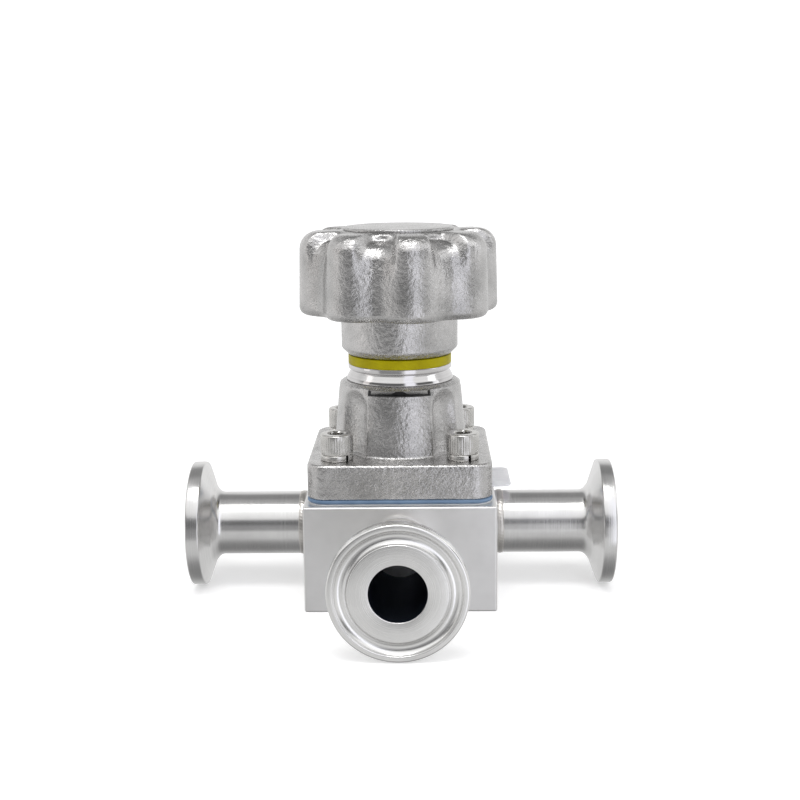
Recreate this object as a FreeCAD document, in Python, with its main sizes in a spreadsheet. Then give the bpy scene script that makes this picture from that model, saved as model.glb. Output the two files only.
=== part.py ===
"""Hand-operated three-way diaphragm valve with clamp ferrules, as a parametric document.

Frame: the origin is the centre of the block's flat underside. +X runs along the straight run
towards the right-hand port, -Y towards the third port, +Z up the spindle. Millimetres.
The valve stands closed: the compressor holds the diaphragm down in the dish.
"""

import FreeCAD
import Part

import os
import re

import Sketcher

# name, millimetres (or degrees), what it is
SIZES = [
    # block and ports
    ("port_height", 17.2, "port axes above the block's underside"),
    ("run_half", 57.5, "axis to the face of a side port"),
    ("front_reach", 60.0, "axis to the face of the third port"),
    ("block_width", 50.4, "square block, across"),
    ("block_height", 28.4, "block, underside to diaphragm seat"),
    ("block_round", 0.6, "edges of the block"),
    ("tube_radius", 8.6, "outside of the tube"),
    ("bore_radius", 7.0, "inside of the tube and ports"),
    ("spigot_length", 1.8, "stub on the block that the tube is welded to"),
    ("side_bore_end", 10.0, "side bores stop this far from the axis"),
    ("dish_depth", 4.0, "seat dish, depth at the centre"),
    ("dish_curve", 32.0, "seat dish, spherical radius"),
    ("weir_half", 1.7, "half the width of the weir across the dish"),
    ("rear_pocket_radius", 13.5, "pocket behind the weir, joins both side bores"),
    ("front_pocket_half", 6.5, "half the width of the pocket to the third port"),
    # clamp ferrules
    ("rim_radius", 17.0, "clamp rim"),
    ("rim_thickness", 3.6, "clamp rim at its edge"),
    ("rim_round", 0.6, "edges of the rim"),
    ("rim_slope", 20.0, "back of the rim, degrees"),
    ("rim_root", 11.0, "radius where the sloped back ends"),
    ("neck_drop", 2.0, "length over which the rim's root meets the tube"),
    ("gasket_radius", 13.75, "middle of the gasket groove"),
    ("gasket_half", 1.75, "half the width of the gasket groove"),
    ("gasket_depth", 1.3, "gasket groove"),
    # diaphragm
    ("plate_width", 48.2, "bonnet flange and diaphragm, across"),
    ("plate_corner", 5.0, "corner radius of flange and diaphragm"),
    ("face_ply", 0.5, "white face ply"),
    ("backing_ply", 1.1, "rubber backing ply"),
    ("seat_gap", 0.1, "face ply above the dish"),
    ("tab_reach", 5.9, "marking tab beyond the flange"),
    ("tab_length", 19.5, "marking tab along the flange"),
    ("tab_offset", 4.2, "middle of the tab behind the spindle axis"),
    ("tab_corner", 2.0, "corners of the tab"),
    # bonnet
    ("flange_thickness", 9.2, "bonnet flange"),
    ("flange_round", 0.8, "edges of the flange"),
    ("tower_base", 18.0, "tower radius at the flange"),
    ("tower_middle", 16.9, "tower radius half way up"),
    ("tower_upper", 16.5, "tower radius under the shoulder"),
    ("tower_top", 14.8, "tower radius at the top face"),
    ("middle_rise", 12.3, "flange to the middle radius"),
    ("shoulder_drop", 2.0, "tower top down to the upper radius"),
    ("tower_rise", 18.6, "flange to the tower's top face"),
    ("scallop_radius", 7.6, "hollows in the tower beside the screws"),
    ("scallop_rise", 12.6, "flange to the centre of a hollow's round top"),
    ("scallop_lean", 3.8, "hollows lean inward, degrees"),
    ("lower_cavity", 16.0, "radius of the compressor chamber"),
    ("chamber_rise", 7.5, "compressor chamber above the flange's underside"),
    ("guide_radius", 12.0, "radius of the bore above the chamber"),
    ("bush_seat_rise", 9.3, "flange top to the bush bore"),
    ("slot_width", 16.2, "clip slot through the tower"),
    ("slot_height", 1.5, "clip slot"),
    ("slot_drop", 2.3, "tower top down to the slot's floor"),
    ("slot_back", 6.0, "slot ends this far behind the axis"),
    # screws
    ("screw_spacing", 33.0, "square screw pattern"),
    ("screw_radius", 2.5, "socket screw shank"),
    ("screw_engagement", 7.9, "shank inside the block"),
    ("tap_depth", 10.4, "threaded holes in the block"),
    ("head_radius", 4.25, "screw head"),
    ("head_height", 5.4, "screw head"),
    ("key_flats", 4.0, "hexagon socket across flats"),
    ("key_depth", 2.6, "hexagon socket"),
    ("head_chamfer", 0.4, "screw head's top edge"),
    ("washer_thickness", 1.6, "split lock washer"),
    ("washer_gap", 0.9, "split in the lock washer"),
    ("hole_clearance", 0.25, "screw holes in flange and diaphragm, on the radius"),
    ("thread_clearance", 0.05, "plain cylinders that stand for threads"),
    # compressor, stud and spindle
    ("travel", 4.5, "lift from closed to open"),
    ("body_gap", 0.25, "between pieces that move apart"),
    ("compressor_radius", 15.2, "compressor plate"),
    ("plate_rise", 2.6, "flange underside to the top of the compressor plate"),
    ("sleeve_radius", 7.5, "compressor sleeve"),
    ("sleeve_rise", 12.5, "flange underside to the top of the sleeve"),
    ("lug_width", 4.0, "anti-turn lugs"),
    ("lug_reach", 17.2, "axis to the tip of a lug"),
    ("lug_thickness", 2.0, "anti-turn lugs"),
    ("stud_radius", 2.0, "diaphragm stud"),
    ("stud_head_radius", 3.5, "diaphragm stud's head"),
    ("stud_head", 0.8, "diaphragm stud's head, thickness"),
    ("stud_rise", 3.0, "flange underside to the top of the stud"),
    ("thrust_rise", 5.6, "flange underside to the thrust washer"),
    ("thrust_thickness", 1.0, "thrust washer"),
    ("spindle_radius", 5.0, "spindle"),
    ("running_clearance", 0.05, "spindle in its bores, on the radius"),
    ("end_play", 0.1, "spindle between washer and pins"),
    ("pin_radius", 1.2, "pins that hang the compressor on the spindle"),
    ("pin_groove", 3.6, "spindle radius in the pin groove"),
    ("pin_rise", 9.7, "flange underside to the pin axes"),
    ("stop_groove", 4.2, "spindle radius under the stop ring"),
    ("stop_radius", 7.0, "stop ring"),
    ("stop_thickness", 1.2, "stop ring"),
    ("stop_rise", 13.0, "flange underside to the stop ring"),
    # bush and seals
    ("bush_radius", 8.0, "bush below its collar"),
    ("collar_bottom", 14.3, "bush collar radius at the tower"),
    ("collar_waist", 13.6, "bush collar radius at the waist"),
    ("collar_top", 13.9, "bush collar radius under the ring"),
    ("collar_step", 2.4, "tower to the cone's end on the collar"),
    ("waist_rise", 3.3, "tower to the collar's waist"),
    ("collar_height", 4.4, "bush collar"),
    ("nose_radius", 9.5, "bush nose inside the ring"),
    ("nose_height", 4.0, "bush nose above the collar"),
    ("clip_groove", 6.6, "bush radius in the clip groove"),
    ("clip_thickness", 1.3, "bush clip"),
    ("clip_front", 13.0, "axis to the clip's front edge"),
    ("clip_back", 5.0, "axis to the clip's ends"),
    ("spindle_seal", 0.9, "spindle O-ring, section radius"),
    ("spindle_seal_rise", 2.2, "tower top to the spindle O-ring"),
    ("bush_seal", 0.8, "bush O-ring, section radius"),
    ("bush_seal_drop", 5.6, "tower top down to the bush O-ring"),
    ("seal_room", 0.1, "O-ring groove beyond the ring, each side"),
    # position ring
    ("ring_height", 2.5, "ring under the hub"),
    ("sleeve_inner", 11.0, "ring's inner sleeve, inside"),
    ("sleeve_outer", 12.4, "ring's inner sleeve, outside"),
    ("sleeve_height", 6.8, "ring's inner sleeve"),
    # handwheel
    ("hub_radius", 15.65, "handwheel hub"),
    ("hub_chamfer", 1.7, "hub's lower edge"),
    ("hub_height", 10.9, "hub below the wheel's underside"),
    ("skirt_inner", 12.7, "inside of the hub's skirt"),
    ("skirt_height", 8.5, "depth of the hub's skirt"),
    ("wheel_height", 22.0, "wheel, underside to top"),
    ("wheel_tip", 26.9, "radius of the lobes"),
    ("lobe_offset", 19.9, "axis to a lobe's centre"),
    ("flute_valley", 23.9, "radius of a flute's floor"),
    ("wheel_turn", 10.0, "wheel's turn at rest, degrees"),
    ("wheel_top_round", 6.0, "wheel's top edge"),
    ("wheel_foot_round", 2.0, "wheel's lower edge"),
    ("wheel_wall", 3.0, "rim wall at a flute"),
    ("wheel_roof", 5.0, "wheel's roof"),
    ("seat_radius", 4.0, "spindle inside the wheel"),
    ("seat_rise", 6.5, "skirt roof to the spindle's shoulder"),
    ("nut_recess", 9.5, "recess for the nut, radius"),
    ("recess_depth", 7.9, "recess for the nut"),
    ("nut_washer_radius", 8.0, "washer under the nut"),
    ("nut_washer", 1.2, "washer under the nut, thickness"),
    ("nut_flats", 13.0, "nut across flats"),
    ("nut_height", 4.0, "nut"),
    ("spindle_end_drop", 1.9, "wheel top down to the spindle's end"),
    ("key_width", 2.5, "wheel key"),
    ("key_length", 8.0, "wheel key"),
    ("key_inner", 2.6, "axis to the key's inner face"),
    ("key_outer", 5.4, "axis to the key's outer face"),
    ("key_margin", 0.75, "key above the spindle's shoulder"),
    ("cap_radius", 14.7, "cap on the wheel"),
    ("cap_height", 0.8, "cap above the wheel"),
    ("cap_plug", 1.3, "cap's plug in the recess"),
    ("cap_round", 0.4, "cap's edge"),
]

# Places that follow from the sizes, each written once.
PLACES = {
    "flange_bottom": "block_height + face_ply + backing_ply",
    "flange_top": "flange_bottom + flange_thickness",
    "tower_face": "flange_top + tower_rise",
    "collar_face": "tower_face + collar_height",
    "hub_bottom": "collar_face + ring_height + body_gap",
    "skirt_roof": "hub_bottom + skirt_height",
    "wheel_bottom": "hub_bottom + hub_height",
    "wheel_top": "wheel_bottom + wheel_height",
    "shoulder": "skirt_roof + seat_rise",
    "recess_floor": "wheel_top - recess_depth",
    "dish_centre": "block_height + dish_curve - dish_depth",
    "bush_bottom": "flange_bottom + stop_rise + stop_thickness + travel + body_gap",
    "bush_bore_start": "flange_top + bush_seat_rise",
    "spindle_foot": "flange_bottom + thrust_rise + thrust_thickness + end_play",
    "pin_height": "flange_bottom + pin_rise",
    "slot_floor": "tower_face - slot_drop",
    "head_seat": "flange_top + washer_thickness",
    "screw_foot": "block_height - screw_engagement",
    "screw_hole": "screw_radius + hole_clearance",
    "plies": "face_ply + backing_ply",
    "gasket_curve": "(gasket_half^2 + gasket_depth^2) / (2 * gasket_depth)",
    "lobe_radius": "wheel_tip - lobe_offset",
}

VALUES = {name: value for name, value, _ in SIZES}
PLANES = {"XY": "XY_Plane", "XZ": "XZ_Plane"}
TO_RIGHT = FreeCAD.Rotation(FreeCAD.Vector(0, 1, 0), 90)
TO_LEFT = FreeCAD.Rotation(FreeCAD.Vector(0, 1, 0), -90)
TO_BACK = FreeCAD.Rotation(FreeCAD.Vector(1, 0, 0), -90)
UPRIGHT = FreeCAD.Rotation()
QUARTER_TURNS = (45, 135, 225, 315)

doc = FreeCAD.newDocument("diaphragm_valve")


# ---------------------------------------------------------------- sheet and formulas


def fill_sheet():
    """Write every driving size to the sheet, each under its own alias."""
    table = doc.addObject("Spreadsheet::Sheet", "Dims")
    for row, (name, value, note) in enumerate(SIZES, start=1):
        table.set(f"A{row}", name)
        table.set(f"B{row}", str(value))
        table.set(f"C{row}", note)
        table.setAlias(f"B{row}", name)
    doc.recompute()
    return table


def formula(text):
    """Turn names of sizes and places into references to the sheet."""

    def reference(match):
        word = match.group(0)
        if word in VALUES:
            return f"Dims.{word}"
        if word in PLACES:
            return f"({formula(PLACES[word])})"
        return word

    return re.sub(r"[a-z_]+", reference, str(text))


def bind(item, **sizes):
    """Bind properties of a document object to formulas."""
    for name, text in sizes.items():
        item.setExpression(name, formula(text))
    return item


def place(item, x=0, y=0, z=0, turn=UPRIGHT):
    """Turn an object and bind its position to formulas."""
    item.Placement = FreeCAD.Placement(FreeCAD.Vector(), turn)
    for axis, text in (("x", x), ("y", y), ("z", z)):
        item.setExpression(f"Placement.Base.{axis}", formula(text))
    return item


# ---------------------------------------------------------------- primitives and booleans


def box(name, x, y, z, long, wide, high):
    """Box from its lowest corner and three sizes."""
    item = doc.addObject("Part::Box", name)
    bind(item, Length=long, Width=wide, Height=high)
    return place(item, x, y, z)


def cylinder(name, radius, high, x=0, y=0, z=0, turn=UPRIGHT):
    """Cylinder standing on a point."""
    item = doc.addObject("Part::Cylinder", name)
    bind(item, Radius=radius, Height=high)
    return place(item, x, y, z, turn)


def sphere(name, radius, z):
    """Ball on the spindle's axis."""
    item = doc.addObject("Part::Sphere", name)
    bind(item, Radius=radius)
    return place(item, 0, 0, z)


def fuse(name, pieces):
    """Join pieces into one."""
    item = doc.addObject("Part::MultiFuse", name)
    item.Shapes = pieces
    item.Refine = True
    return item


def common(name, pieces):
    """Keep what all pieces share."""
    item = doc.addObject("Part::MultiCommon", name)
    item.Shapes = pieces
    return item


def cut(name, base, tool):
    """Take the tool away from the base."""
    item = doc.addObject("Part::Cut", name)
    item.Base = base
    item.Tool = tool
    return item


def group(name, pieces):
    """Several separate solids in one node."""
    item = doc.addObject("Part::Compound", name)
    item.Links = pieces
    return item


def round_edges(name, base, size, chosen):
    """Round the edges that the test chooses, by a size from the sheet."""
    doc.recompute()
    item = doc.addObject("Part::Fillet", name)
    item.Base = base
    radius = VALUES[size]
    item.Edges = [
        (number, radius, radius)
        for number, edge in enumerate(base.Shape.Edges, start=1)
        if chosen(edge)
    ]
    return item


def is_upright(edge):
    """True for a straight edge along Z."""
    return abs(edge.BoundBox.ZLength - edge.Length) < 1e-6


def is_straight(edge):
    """True for any straight edge."""
    return isinstance(edge.Curve, Part.Line)


def level_edge(shape_height):
    """A test for edges that lie flat at one height."""

    def test(edge):
        box_of_edge = edge.BoundBox
        return box_of_edge.ZLength < 1e-6 and abs(box_of_edge.ZMin - shape_height) < 1e-6

    return test


def rounded_plate(name, low, high, width="plate_width", corner="plate_corner"):
    """Square plate with round corners, centred on the spindle's axis."""
    half = f"-({width}) / 2"
    blank = box(f"{name}_blank", half, half, low, width, width, high)
    return round_edges(name, blank, corner, is_upright)


def at_corners(name, radius, low, high):
    """One cylinder at each screw, as one tool."""
    arm = "screw_spacing / 2"
    places = [(f"{sx}{arm}", f"{sy}{arm}") for sx in ("", "-") for sy in ("", "-")]
    posts = [
        cylinder(f"{name}_{number}", radius, high, x, y, low)
        for number, (x, y) in enumerate(places, start=1)
    ]
    return fuse(name, posts)


# ---------------------------------------------------------------- sketched bodies


def new_body(name):
    """Empty body with its own label."""
    return doc.addObject("PartDesign::Body", name)


def new_sketch(body, name, plane):
    """Sketch on one of the body's own origin planes."""
    sketch = body.newObject("Sketcher::SketchObject", name)
    feature = next(f for f in body.Origin.OriginFeatures if f.Role == PLANES[plane])
    sketch.AttachmentSupport = [(feature, "")]
    sketch.MapMode = "FlatFace"
    return sketch


def pin_point(sketch, line, end, x, y):
    """Hold one point of a sketch at two formulas."""
    for kind, axis, text in (("DistanceX", -2, x), ("DistanceY", -1, y)):
        if str(text) == "0":
            sketch.addConstraint(Sketcher.Constraint("PointOnObject", line, end, axis))
            continue
        index = sketch.addConstraint(Sketcher.Constraint(kind, -1, 1, line, end, 1.0))
        sketch.setExpression(f"Constraints[{index}]", formula(text))


def outline(body, name, plane, corners):
    """Closed outline of straight lines, every corner held by formulas."""
    sketch = new_sketch(body, name, plane)
    count = len(corners)
    rough = [FreeCAD.Vector(10 + n, n * n * 0.1, 0) for n in range(count)]
    for n in range(count):
        sketch.addGeometry(Part.LineSegment(rough[n], rough[(n + 1) % count]))
    for n in range(count):
        sketch.addConstraint(Sketcher.Constraint("Coincident", n, 2, (n + 1) % count, 1))
    for n, (x, y) in enumerate(corners):
        pin_point(sketch, n, 1, x, y)
    return sketch


def disc(body, name, plane, x, y, radius):
    """Sketch of one circle, its centre and radius held by formulas."""
    sketch = new_sketch(body, name, plane)
    sketch.addGeometry(Part.Circle(FreeCAD.Vector(1, 1, 0), FreeCAD.Vector(0, 0, 1), 1))
    pin_point(sketch, 0, 3, x, y)
    index = sketch.addConstraint(Sketcher.Constraint("Radius", 0, 1.0))
    sketch.setExpression(f"Constraints[{index}]", formula(radius))
    return sketch


def turn_profile(body, sketch, kind="Revolution"):
    """Revolve a sketch all the way round the body's Z axis, adding or taking away."""
    feature = body.newObject(f"PartDesign::{kind}", f"{sketch.Name}_{kind.lower()}")
    feature.Profile = sketch
    feature.ReferenceAxis = (sketch, ["V_Axis"])
    feature.Angle = 360
    doc.recompute()
    return feature


def turned(name, corners):
    """Body turned from one outline of radius and height pairs."""
    body = new_body(name)
    turn_profile(body, outline(body, f"{name}_outline", "XZ", corners))
    return body


def body_fillet(body, size, chosen):
    """Round a body's chosen edges by a size from the sheet."""
    doc.recompute()
    base = body.Tip
    names = [
        f"Edge{number}"
        for number, edge in enumerate(base.Shape.Edges, start=1)
        if chosen(edge)
    ]
    fillet = body.newObject("PartDesign::Fillet", f"{body.Name}_{size}")
    fillet.Base = (base, names)
    fillet.setExpression("Radius", formula(size))
    doc.recompute()


# ---------------------------------------------------------------- block and ferrules


def make_valve_body():
    """Block with three weld spigots, the dished seat, its pockets and threaded holes."""
    half = "-block_width / 2"
    blank = box("block_blank", half, half, 0, "block_width", "block_width", "block_height")
    block = round_edges("block", blank, "block_round", is_straight)
    reach = "block_width / 2 + spigot_length"
    spigots = fuse(
        "spigots",
        [
            cylinder("run_spigots", "tube_radius", f"2 * ({reach})", f"-({reach})", 0,
                     "port_height", TO_RIGHT),
            cylinder("front_spigot", "tube_radius", reach, 0, f"-({reach})",
                     "port_height", TO_BACK),
        ],
    )
    solid = fuse("block_with_spigots", [block, spigots])
    depth = f"{reach} - side_bore_end"
    bores = [
        cylinder("right_bore", "bore_radius", depth, reach, 0, "port_height", TO_LEFT),
        cylinder("left_bore", "bore_radius", depth, f"-({reach})", 0, "port_height", TO_RIGHT),
        cylinder("front_bore", "bore_radius", f"{reach} - weir_half", 0, f"-({reach})",
                 "port_height", TO_BACK),
    ]
    pocket_floor = "port_height - bore_radius"
    rear = common(
        "rear_pocket",
        [
            cylinder("rear_round", "rear_pocket_radius", "block_height", 0, 0, pocket_floor),
            box("rear_side", "-rear_pocket_radius", "weir_half", pocket_floor,
                "2 * rear_pocket_radius", "rear_pocket_radius", "block_height"),
        ],
    )
    front = common(
        "front_pocket",
        [
            cylinder("front_round", "rear_pocket_radius", "block_height", 0, 0, "port_height"),
            box("front_side", "-front_pocket_half", "-rear_pocket_radius", "port_height",
                "2 * front_pocket_half", "rear_pocket_radius - weir_half", "block_height"),
        ],
    )
    dish = sphere("dish", "dish_curve", "dish_centre")
    holes = at_corners("tapped_holes", "screw_radius + thread_clearance",
                       "block_height - tap_depth", "2 * tap_depth")
    waste = fuse("block_waste", bores + [rear, front, dish, holes])
    return cut("valve_body", solid, waste)


def make_ferrule(name, reach, x, y, turn):
    """Tube with a clamp rim. It is turned about its own Z, from the sealing face inward."""
    slope = "(rim_radius - rim_root) * tan(rim_slope)"
    length = f"{reach} - block_width / 2 - spigot_length"
    body = turned(
        name,
        [
            ("bore_radius", "0"),
            ("rim_radius", "0"),
            ("rim_radius", "rim_thickness"),
            ("rim_root", f"rim_thickness + {slope}"),
            ("tube_radius", f"rim_thickness + {slope} + neck_drop"),
            ("tube_radius", length),
            ("bore_radius", length),
        ],
    )
    groove = disc(body, f"{name}_groove", "XZ", "gasket_radius",
                  "gasket_depth - gasket_curve", "gasket_curve")
    turn_profile(body, groove, "Groove")
    rim = VALUES["rim_radius"]

    def at_rim(edge):
        return hasattr(edge.Curve, "Radius") and abs(edge.Curve.Radius - rim) < 1e-6

    body_fillet(body, "rim_round", at_rim)
    return place(body, x, y, "port_height", turn)


# ---------------------------------------------------------------- diaphragm


def make_ply(name, low, thick, outer_curve, extra=None):
    """One ply: a flat square border and a dished middle of the same thickness."""
    border = rounded_plate(f"{name}_border", low, thick)
    reach = "dish_curve"
    window = cylinder(f"{name}_window", "dish_curve / 2", reach, 0, 0, f"{low} - {reach}")
    bowl = common(f"{name}_bowl", [sphere(f"{name}_ball", outer_curve, "dish_centre"), window])
    solid = fuse(f"{name}_solid", [border, bowl] + ([extra] if extra else []))
    holes = at_corners(f"{name}_holes", "screw_hole", f"{low} - dish_depth", "2 * dish_depth")
    inner = sphere(f"{name}_inner", f"{outer_curve} - {thick}", "dish_centre")
    return cut(name, solid, fuse(f"{name}_waste", [holes, inner]))


def make_diaphragm():
    """White face ply with its marking tab, and the rubber backing above it."""
    tab_blank = box("tab_blank", "plate_width / 2 - plate_corner",
                    "tab_offset - tab_length / 2", "block_height",
                    "plate_corner + tab_reach", "tab_length", "face_ply")
    tab = round_edges("tab", tab_blank, "tab_corner", is_upright)
    face = make_ply("diaphragm_face", "block_height", "face_ply", "dish_curve - seat_gap", tab)
    backing = make_ply("diaphragm_backing", "(block_height + face_ply)", "backing_ply",
                       "dish_curve - seat_gap - face_ply")
    return [face, backing]


# ---------------------------------------------------------------- bonnet


def make_tower():
    """Turned outside of the tower."""
    return turned(
        "tower",
        [
            ("0", "flange_bottom"),
            ("tower_base", "flange_bottom"),
            ("tower_base", "flange_top"),
            ("tower_middle", "flange_top + middle_rise"),
            ("tower_upper", "tower_face - shoulder_drop"),
            ("tower_top", "tower_face"),
            ("0", "tower_face"),
        ],
    )


def make_scallops():
    """Leaning hollows with round tops, one in front of each screw."""
    hollows = []
    distance = "screw_spacing / sqrt(2)"
    for degrees in QUARTER_TURNS:
        post = cylinder(f"scallop_post_{degrees}", "scallop_radius", "scallop_rise")
        ball = sphere(f"scallop_top_{degrees}", "scallop_radius", "scallop_rise")
        hollow = fuse(f"scallop_{degrees}", [post, ball])
        lean = FreeCAD.Rotation(FreeCAD.Vector(0, 1, 0), -VALUES["scallop_lean"])
        turn = FreeCAD.Rotation(FreeCAD.Vector(0, 0, 1), degrees).multiply(lean)
        place(hollow, f"{distance} * cos({degrees})", f"{distance} * sin({degrees})",
              "flange_top", turn)
        hollows.append(hollow)
    return hollows


def make_bonnet():
    """Flange and scalloped tower, bored for the compressor, spindle, bush, clip and screws."""
    plate = rounded_plate("flange_plate", "flange_bottom", "flange_thickness")
    doc.recompute()
    top = level_edge(plate.Shape.BoundBox.ZMax)
    flange = round_edges("flange", plate, "flange_round", top)
    outside = fuse("bonnet_outside", [flange, cut("scalloped_tower", make_tower(),
                                                  fuse("scallops", make_scallops()))])
    lug_room = "lug_reach + body_gap"
    lug_gap = "lug_width + 2 * body_gap"
    waste = fuse(
        "bonnet_waste",
        [
            cylinder("chamber", "lower_cavity", "chamber_rise", 0, 0, "flange_bottom"),
            box("lug_slots", f"-({lug_room})", f"-({lug_gap}) / 2", "flange_bottom",
                f"2 * ({lug_room})", lug_gap, "chamber_rise"),
            cylinder("guide_bore", "guide_radius", "bush_bore_start - flange_bottom", 0, 0,
                     "flange_bottom"),
            cylinder("bush_bore", "bush_radius", "flange_thickness + tower_rise", 0, 0,
                     "flange_bottom"),
            box("clip_slot", "-slot_width / 2", "-tower_base", "slot_floor",
                "slot_width", "tower_base + slot_back", "slot_height"),
            at_corners("flange_holes", "screw_hole", "flange_bottom", "flange_thickness"),
        ],
    )
    return cut("bonnet", outside, waste)


def make_screw(name, x, y):
    """Socket-head screw, its head resting on the lock washer."""
    head = turned(
        f"{name}_turned",
        [
            ("0", "screw_foot"),
            ("screw_radius", "screw_foot"),
            ("screw_radius", "head_seat"),
            ("head_radius", "head_seat"),
            ("head_radius", "head_seat + head_height - head_chamfer"),
            ("head_radius - head_chamfer", "head_seat + head_height"),
            ("0", "head_seat + head_height"),
        ],
    )
    socket = doc.addObject("Part::Prism", f"{name}_socket")
    socket.Polygon = 6
    bind(socket, Circumradius="key_flats / sqrt(3)", Height="2 * key_depth")
    place(socket, 0, 0, "head_seat + head_height - key_depth")
    return place(cut(name, head, socket), x, y, 0)


def make_lock_washer(name, x, y, degrees):
    """Split ring under a screw head."""
    ring = cylinder(f"{name}_disc", "head_radius", "washer_thickness", 0, 0, "flange_top")
    hole = cylinder(f"{name}_hole", "screw_hole", "washer_thickness", 0, 0, "flange_top")
    split = box(f"{name}_split", 0, "-washer_gap / 2", "flange_top",
                "2 * head_radius", "washer_gap", "washer_thickness")
    washer = cut(name, ring, fuse(f"{name}_waste", [hole, split]))
    return place(washer, x, y, 0, FreeCAD.Rotation(FreeCAD.Vector(0, 0, 1), degrees))


def make_fasteners():
    """Four screws and their four lock washers, each set one node."""
    arm = "screw_spacing / 2"
    corners = [(f"-{arm}", f"-{arm}", -60), (arm, f"-{arm}", -50),
               (arm, arm, 70), (f"-{arm}", arm, 160)]
    screws = []
    washers = []
    for number, (x, y, degrees) in enumerate(corners, start=1):
        screws.append(make_screw(f"screw_{number}", x, y))
        washers.append(make_lock_washer(f"washer_{number}", x, y, degrees))
    return [group("bonnet_screws", screws), group("lock_washers", washers)]


# ---------------------------------------------------------------- lifting pieces


def make_compressor():
    """Plate with a ball-shaped underside, a sleeve for the spindle and two lugs."""
    top = "flange_bottom + plate_rise"
    under = "dish_centre - dish_curve"
    ball_radius = "dish_curve - seat_gap - plies - body_gap"
    disc_blank = cylinder("compressor_disc", "compressor_radius", f"{top} - ({under})", 0, 0, under)
    reach = "2 * lug_reach"
    lugs = box("compressor_lugs", "-lug_reach", "-lug_width / 2", f"{top} - lug_thickness",
               reach, "lug_width", "lug_thickness")
    ball = sphere("compressor_ball", ball_radius, "dish_centre")
    plate = fuse("compressor_plate", [common("compressor_dome", [disc_blank, ball]), lugs])
    sleeve = cylinder("compressor_sleeve", "sleeve_radius", "sleeve_rise", 0, 0, "flange_bottom")
    head_top = f"dish_centre - ({ball_radius}) + stud_head"
    thrust_floor = "flange_bottom + thrust_rise"
    waste = fuse(
        "compressor_waste",
        [
            cylinder("stud_head_room", "stud_head_radius", f"{head_top} - ({under})", 0, 0, under),
            cylinder("stud_hole", "stud_radius", f"{thrust_floor} - ({under})", 0, 0, under),
            cylinder("spindle_hole", "spindle_radius + running_clearance",
                     "sleeve_rise", 0, 0, thrust_floor),
            make_pins("pin_holes"),
        ],
    )
    return cut("compressor", fuse("compressor_outside", [plate, sleeve]), waste)


def make_pins(name):
    """Two cross pins through the sleeve, one each side of the spindle's groove."""
    off = "(pin_groove + running_clearance + pin_radius)"
    length = "2 * sqrt(sleeve_radius^2 - (pin_groove + running_clearance + 2 * pin_radius)^2)"
    pins = [
        cylinder(f"{name}_{side}", "pin_radius", length, f"-({length}) / 2", f"{sign}{off}",
                 "pin_height", TO_RIGHT)
        for side, sign in (("near", "-"), ("far", ""))
    ]
    return group(name, pins)


def make_stud():
    """Stud that ties the diaphragm to the compressor."""
    low = "dish_centre - dish_curve + seat_gap + plies + body_gap"
    return turned(
        "diaphragm_stud",
        [
            ("0", low),
            ("stud_head_radius", low),
            ("stud_head_radius", f"{low} + stud_head"),
            ("stud_radius", f"{low} + stud_head"),
            ("stud_radius", "flange_bottom + stud_rise"),
            ("0", "flange_bottom + stud_rise"),
        ],
    )


def make_thrust_washer():
    """Washer that takes the spindle's thrust."""
    return cylinder("thrust_washer", "spindle_radius", "thrust_thickness", 0, 0,
                    "flange_bottom + thrust_rise")


# ---------------------------------------------------------------- spindle, bush and seals


def make_key(name):
    """Key between the spindle and the handwheel."""
    return box(name, "key_inner", "-key_width / 2", "shoulder + key_margin",
               "key_outer - key_inner", "key_width", "key_length")


def make_spindle():
    """Spindle with its pin groove, stop groove, shoulder and keyway."""
    gap = "(pin_radius + end_play)"
    stop = "flange_bottom + stop_rise"
    blank = turned(
        "spindle_turned",
        [
            ("0", "spindle_foot"),
            ("spindle_radius", "spindle_foot"),
            ("spindle_radius", f"pin_height - {gap}"),
            ("pin_groove", f"pin_height - {gap}"),
            ("pin_groove", f"pin_height + {gap}"),
            ("spindle_radius", f"pin_height + {gap}"),
            ("spindle_radius", stop),
            ("stop_groove", stop),
            ("stop_groove", f"{stop} + stop_thickness"),
            ("spindle_radius", f"{stop} + stop_thickness"),
            ("spindle_radius", "shoulder"),
            ("seat_radius", "shoulder"),
            ("seat_radius", "wheel_top - spindle_end_drop"),
            ("0", "wheel_top - spindle_end_drop"),
        ],
    )
    return cut("spindle", blank, make_key("spindle_keyway"))


def make_stop_ring():
    """Ring in the spindle's groove that meets the bush at full lift."""
    low = "flange_bottom + stop_rise"
    return turned(
        "stop_ring",
        [
            ("stop_groove", low),
            ("stop_radius", low),
            ("stop_radius", f"{low} + stop_thickness"),
            ("stop_groove", f"{low} + stop_thickness"),
        ],
    )


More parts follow.
